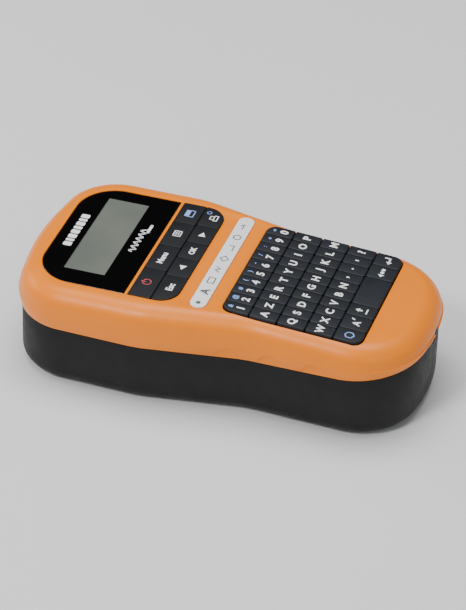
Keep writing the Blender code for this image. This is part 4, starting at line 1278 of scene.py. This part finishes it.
def makePadKeys():
    s = padSizes
    shapes = padShapes()
    panel, gap, rowHeight = faceSizes["panelHalf"], s["gap"], faceSizes["padDepth"] / 2
    reach = rowHeight / 2 - gap
    corner = min(faceSizes["padCorner"] - gap, 2 * reach - 1)
    rows = ((s["headNodes"], s["headShares"]), (s["footNodes"], s["footShares"]))
    for row, (nodes, shares) in enumerate(rows):
        matrix = onFace(0, padTop - (row + 0.5) * rowHeight, s["proud"])
        for index, node in enumerate(nodes):
            x0 = max(-panel + shares[index] * 2 * panel + gap / 2, -panel + gap)
            x1 = min(-panel + shares[index + 1] * 2 * panel - gap / 2, panel - gap)
            big = {0: ("lf",), len(nodes) - 1: ("rf",)}.get(index, ()) if row else ()
            builder = bmesh.new()
            outline = keyOutline(x0, x1, -reach, reach, (big, corner))
            addCap(builder, outline, s["capDeep"], s["edge"], matrix)
            plain = node.replace("key_", "")
            obj = finishPiece(f"{plain}PadKey", builder, "padCharcoal", 30)
            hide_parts(node)
            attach(obj, node)
            shape, finish, (dx, dy) = shapes[node]
            spot = matrix @ Matrix.Translation(((x0 + x1) / 2 + dx, dy, 0))
            printPiece(f"{plain}PadPrint", node, finish, [(shape, spot)])
            if node == "key_print":
                mark = strokeShape(polygonRing(6, 1.2), 0.36, True)
                spot = matrix @ Matrix.Translation(((x0 + x1) / 2 + 3.4, 2.9, 0))
                printPiece("feedPadPrint", node, "printBlue", [(mark, spot)])


makePadKeys()
print("function keys made")

# The display behind the window, and the plain marks printed on the window.
windowSizes = {
    "sink": 0.1,
    "edge": 0.25,
    "displayHalfX": 31.7,
    "displayHalfY": 10.7,
    "displaySink": 0.35,
    "displayThick": 0.75,
    "markBars": (3.2, 2.0, 3.2, 3.2, 2.4, 3.2, 2.0, 3.2),
    "markTall": 4.4,
    "markX": 2.0,
    "markUp": 5.4,
    "markGap": 0.8,
    "markCorner": 0.7,
    "waveX": 3.0,
    "waveDown": 5.2,
    "waveHalf": 10.0,
    "waveRise": 1.5,
    "waveLine": 0.8,
}


def makeWindow():
    w = windowSizes
    matrix = onFace(0, windowMiddle, -w["sink"])
    displayX, displayY = middleOf("lcd_module", 0), middleOf("lcd_module", 1) - windowMiddle
    halfX, halfY = w["displayHalfX"], w["displayHalfY"]
    builder = bmesh.new()
    addCap(builder, windowOutline(-bodySizes["gap"]), faceSizes["lens"], w["edge"], matrix, 3)
    obj = finishPiece("windowPane", builder, "windowBlack")
    hole = rectangle(displayX - halfX, displayX + halfX, displayY - halfY, displayY + halfY, 0.4, 3)
    cutPiece(obj, [(hole, -5, 5, matrix)])
    smoothByAngle(obj.data, 35)
    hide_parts("display_lens")
    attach(obj, "case")
    builder = bmesh.new()
    addPrism(builder, inset(hole, 0.02), -w["displaySink"] - w["displayThick"], -w["displaySink"], matrix)
    pane = finishPiece("displayPane", builder, "displayGlass")
    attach(pane, "case")
    bars, x, tall = [], 0.0, w["markTall"] / 2
    for width in w["markBars"]:
        bar = rectangle(x, x + width, -tall, tall, w["markCorner"], 3)
        bars.append(((0, 0), polygonShape(bar)))
        x += width + w["markGap"]
    spot = matrix @ Matrix.Translation((w["markX"] - x / 2, displayY + halfY + w["markUp"], 0))
    printPiece("windowMark", "case", "printWhite", [(joinShapes(*bars), spot)])
    half = w["waveHalf"]
    wave = [(-half + half * step / 20, w["waveRise"] * math.sin(step * 0.9)) for step in range(41)]
    waves = joinShapes(
        ((0, 0), strokeShape(wave, w["waveLine"])),
        ((0, 0), strokeShape([(8, -2.2), (14, -2.2)], 1.5)),
    )
    spot = matrix @ Matrix.Translation((w["waveX"], displayY - halfY - w["waveDown"], 0))
    printPiece("windowWave", "case", "printWhite", [(waves, spot)])


# The strip's plate and its signs, drawn in millimetres and then enlarged.
stripSizes = {
    "proud": 0.05,
    "thick": 0.65,
    "edge": 0.2,
    "line": 0.42,
    "signScale": 1.35,
    "firstX": 4.0,
    "stepX": 9.6,
}


def makeStrip():
    # a white strip of small generic signs, the second a bold letter
    s = stripSizes
    matrix = onFace(0, faceSizes["stripY"], s["proud"])
    builder = bmesh.new()
    addCap(builder, stripOutline(-bodySizes["gap"]), s["thick"], s["edge"], matrix, 3)
    obj = finishPiece("legendStrip", builder, "stripWhite")
    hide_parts("legend_strip")
    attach(obj, "case")
    line = s["line"]
    signs = (
        polygonShape(circle(0, 0, 0.9, 20)),
        textShape("A", 4.6, 0.17),
        strokeShape([(-1.7, -1.2), (1.7, -1.2), (1.7, 1.2), (-1.7, 1.2)], line, True),
        strokeShape([(-1.5, -0.8), (-0.5, 0.9), (0.5, -0.8), (1.5, 0.9)], line),
        strokeShape(polygonRing(4, 1.6), line, True),
        strokeShape([(-1.6, -0.9), (1.6, -0.9), (1.6, 0.9)], line),
        strokeShape(polygonRing(6, 1.5), line, True),
        strokeShape([(-1.5, 0.0), (1.5, 0.0), (0.3, 1.1)], line),
    )
    stamps = []
    for index, sign in enumerate(signs):
        x = -faceSizes["stripHalf"] + s["firstX"] + index * s["stepX"]
        stamps.append((scaleShape(sign, s["signScale"]), matrix @ Matrix.Translation((x, 0, 0))))
    printPiece("stripSigns", "case", "printGrey", stamps)


# The cassette's paper label and its ruled lines.
labelSizes = {
    "shiftX": -6.0,
    "halfX": 15.0,
    "halfY": 24.0,
    "corner": 2.0,
    "lines": 5,
    "firstLine": 12.0,
    "lineStep": 6.0,
    "lineHalf": 11.0,
    "lineWide": 0.8,
}


def makeCassetteLabel():
    # a plain label on the cassette's lid, seen with the cover off
    s = labelSizes
    low = boxOf("cassette_lid")[0]
    middle = (middleOf("cassette_lid", 0) + s["shiftX"], middleOf("cassette_lid", 1))
    under = Matrix.Translation((*middle, low[2])) @ Matrix.Rotation(math.pi, 4, "X")
    paper = rectangle(-s["halfX"], s["halfX"], -s["halfY"], s["halfY"], s["corner"])
    printPiece("cassetteLabel", "case", "tapeWhite", [(polygonShape(paper), under)])
    rule = strokeShape([(-s["lineHalf"], 0), (s["lineHalf"], 0)], s["lineWide"])
    rules = [((0, s["firstLine"] - step * s["lineStep"]), rule) for step in range(s["lines"])]
    printPiece("cassetteRules", "case", "printGrey", [(joinShapes(*rules), under)], 0.06)


makeWindow()
makeStrip()
makeCassetteLabel()
print("window, strip and cassette label made")

# Nodes whose CAD shape is shown get their finishes here.
nodeFinishes = {
    "trayBlack": ("drive_tray",),
    "cassetteGrey": ("cassette_case", "cassette_lid"),
    "tapeWhite": ("tape_roll",),
    "ribbonBlack": ("ribbon_roll",),
    "gearWhite": ("idler_gear", "platen_gear", "link_gear", "take_up_gear", "take_up_spool"),
    "rollerRubber": ("platen_roller",),
    "leverOrange": ("cutter_lever",),
    "domeSilicone": ("keypad_mat",),
    "boardGreen": ("circuit_board",),
    "blackShell": ("dc_jack",),
    "displayGlass": ("lcd_module",),
    "cellHead": ("cell_1", "cell_3", "cell_5"),
    "cellFoot": ("cell_2", "cell_4", "cell_6"),
    "brushedSteel": (
        "motor", "motor_pinion", "print_head", "cutter_pin", "cutter_blade", "contact_foot", "contact_head",
    ),
}
for finish, nodes in nodeFinishes.items():
    for node in nodes:
        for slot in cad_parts[node].material_slots:
            slot.material = paint[finish]
print("shown CAD nodes finished")

# Floor, lamps as (place, target, size, watts), sky and camera; metres.
stageSizes = {
    "floorHalf": 3.0,
    "lens": 186.0,
    "aim": (0.0, 0.0, 0.030),
    "eye": (-1.188, -0.384, 0.961),
    "up": (0.504277, 0.197700, 0.840607),
    "skyStrength": 0.36,
    "darkWay": (0.76, 0.28, 0.59),
    "darkShare": 0.03,
    "darkFrom": 0.55,
    "darkTo": 0.92,
    "floorZ": -0.0002,
}
lamps = {
    "keyBox": ((-0.84, 0.35, 1.07), (0.0, 0.0, 0.0), (0.30, 0.30), 9.0),
    "overheadBox": ((0.2, 0.1, 1.4), (0.0, 0.0, 0.0), (1.1, 0.8), 17.0),
    "nearFill": ((-1.1, -1.1, 0.6), (0.0, 0.0, 0.03), (0.8, 0.6), 1.5),
    "headRim": ((0.15, 1.5, 0.7), (0.0, 0.0, 0.03), (0.8, 0.5), 5.0),
}


def makeFloor():
    mesh = bpy.data.meshes.new("floor")
    s = stageSizes["floorHalf"]
    corners = [(x, y, stageSizes["floorZ"]) for x, y in ((-s, -s), (s, -s), (s, s), (-s, s))]
    mesh.from_pydata(corners, [], [(0, 1, 2, 3)])
    floor = bpy.data.objects.new("floor", mesh)
    bpy.context.scene.collection.objects.link(floor)
    made, tree, shader, place = startFinish("floorPale")
    share = addRange(tree, addNoise(tree, place, 3.0), 0.0, 1.0)
    tree.links.new(addMix(tree, share, (0.80, 0.80, 0.80), (0.83, 0.83, 0.83)), shader.inputs["Base Color"])
    shader.inputs["Roughness"].default_value = 0.9
    mesh.materials.append(made)


def makeLamps():
    for name, (place, target, size, watts) in lamps.items():
        lamp = bpy.data.lights.new(name, "AREA")
        lamp.shape = "RECTANGLE"
        lamp.size, lamp.size_y = size
        lamp.energy = watts
        obj = bpy.data.objects.new(name, lamp)
        bpy.context.scene.collection.objects.link(obj)
        obj.location = place
        obj.rotation_euler = (Vector(target) - Vector(place)).to_track_quat("-Z", "Y").to_euler()


def makeSky():
    # even studio light with a darker patch on the far side, which the window mirrors
    world = bpy.data.worlds.new("studio")
    world.use_nodes = True
    tree = world.node_tree
    toward = tree.nodes.new("ShaderNodeVectorMath")
    toward.operation = "DOT_PRODUCT"
    toward.inputs[1].default_value = Vector(stageSizes["darkWay"]).normalized()
    tree.links.new(tree.nodes.new("ShaderNodeTexCoord").outputs["Generated"], toward.inputs[0])
    dark, darkFrom, darkTo = (stageSizes[name] for name in ("darkShare", "darkFrom", "darkTo"))
    share = addRange(tree, toward.outputs["Value"], 1.0, dark, darkFrom, darkTo)
    strength = tree.nodes.new("ShaderNodeMath")
    strength.operation = "MULTIPLY"
    strength.inputs[1].default_value = stageSizes["skyStrength"]
    tree.links.new(share, strength.inputs[0])
    back = tree.nodes["Background"]
    back.inputs["Color"].default_value = (0.95, 0.97, 1.0, 1.0)
    tree.links.new(strength.outputs[0], back.inputs["Strength"])
    bpy.context.scene.world = world


def makeCamera():
    data = bpy.data.cameras.new("camera")
    data.lens = stageSizes["lens"]
    data.sensor_width = 36.0
    data.clip_start = 0.05
    obj = bpy.data.objects.new("camera", data)
    bpy.context.scene.collection.objects.link(obj)
    eye, aim, up = (Vector(stageSizes[name]) for name in ("eye", "aim", "up"))
    back = (eye - aim).normalized()
    right = up.cross(back).normalized()
    turn = Matrix((right, back.cross(right), back)).transposed().to_4x4()
    obj.matrix_world = Matrix.Translation(eye) @ turn
    bpy.context.scene.camera = obj


makeFloor()
makeLamps()
makeSky()
makeCamera()
print("stage made")
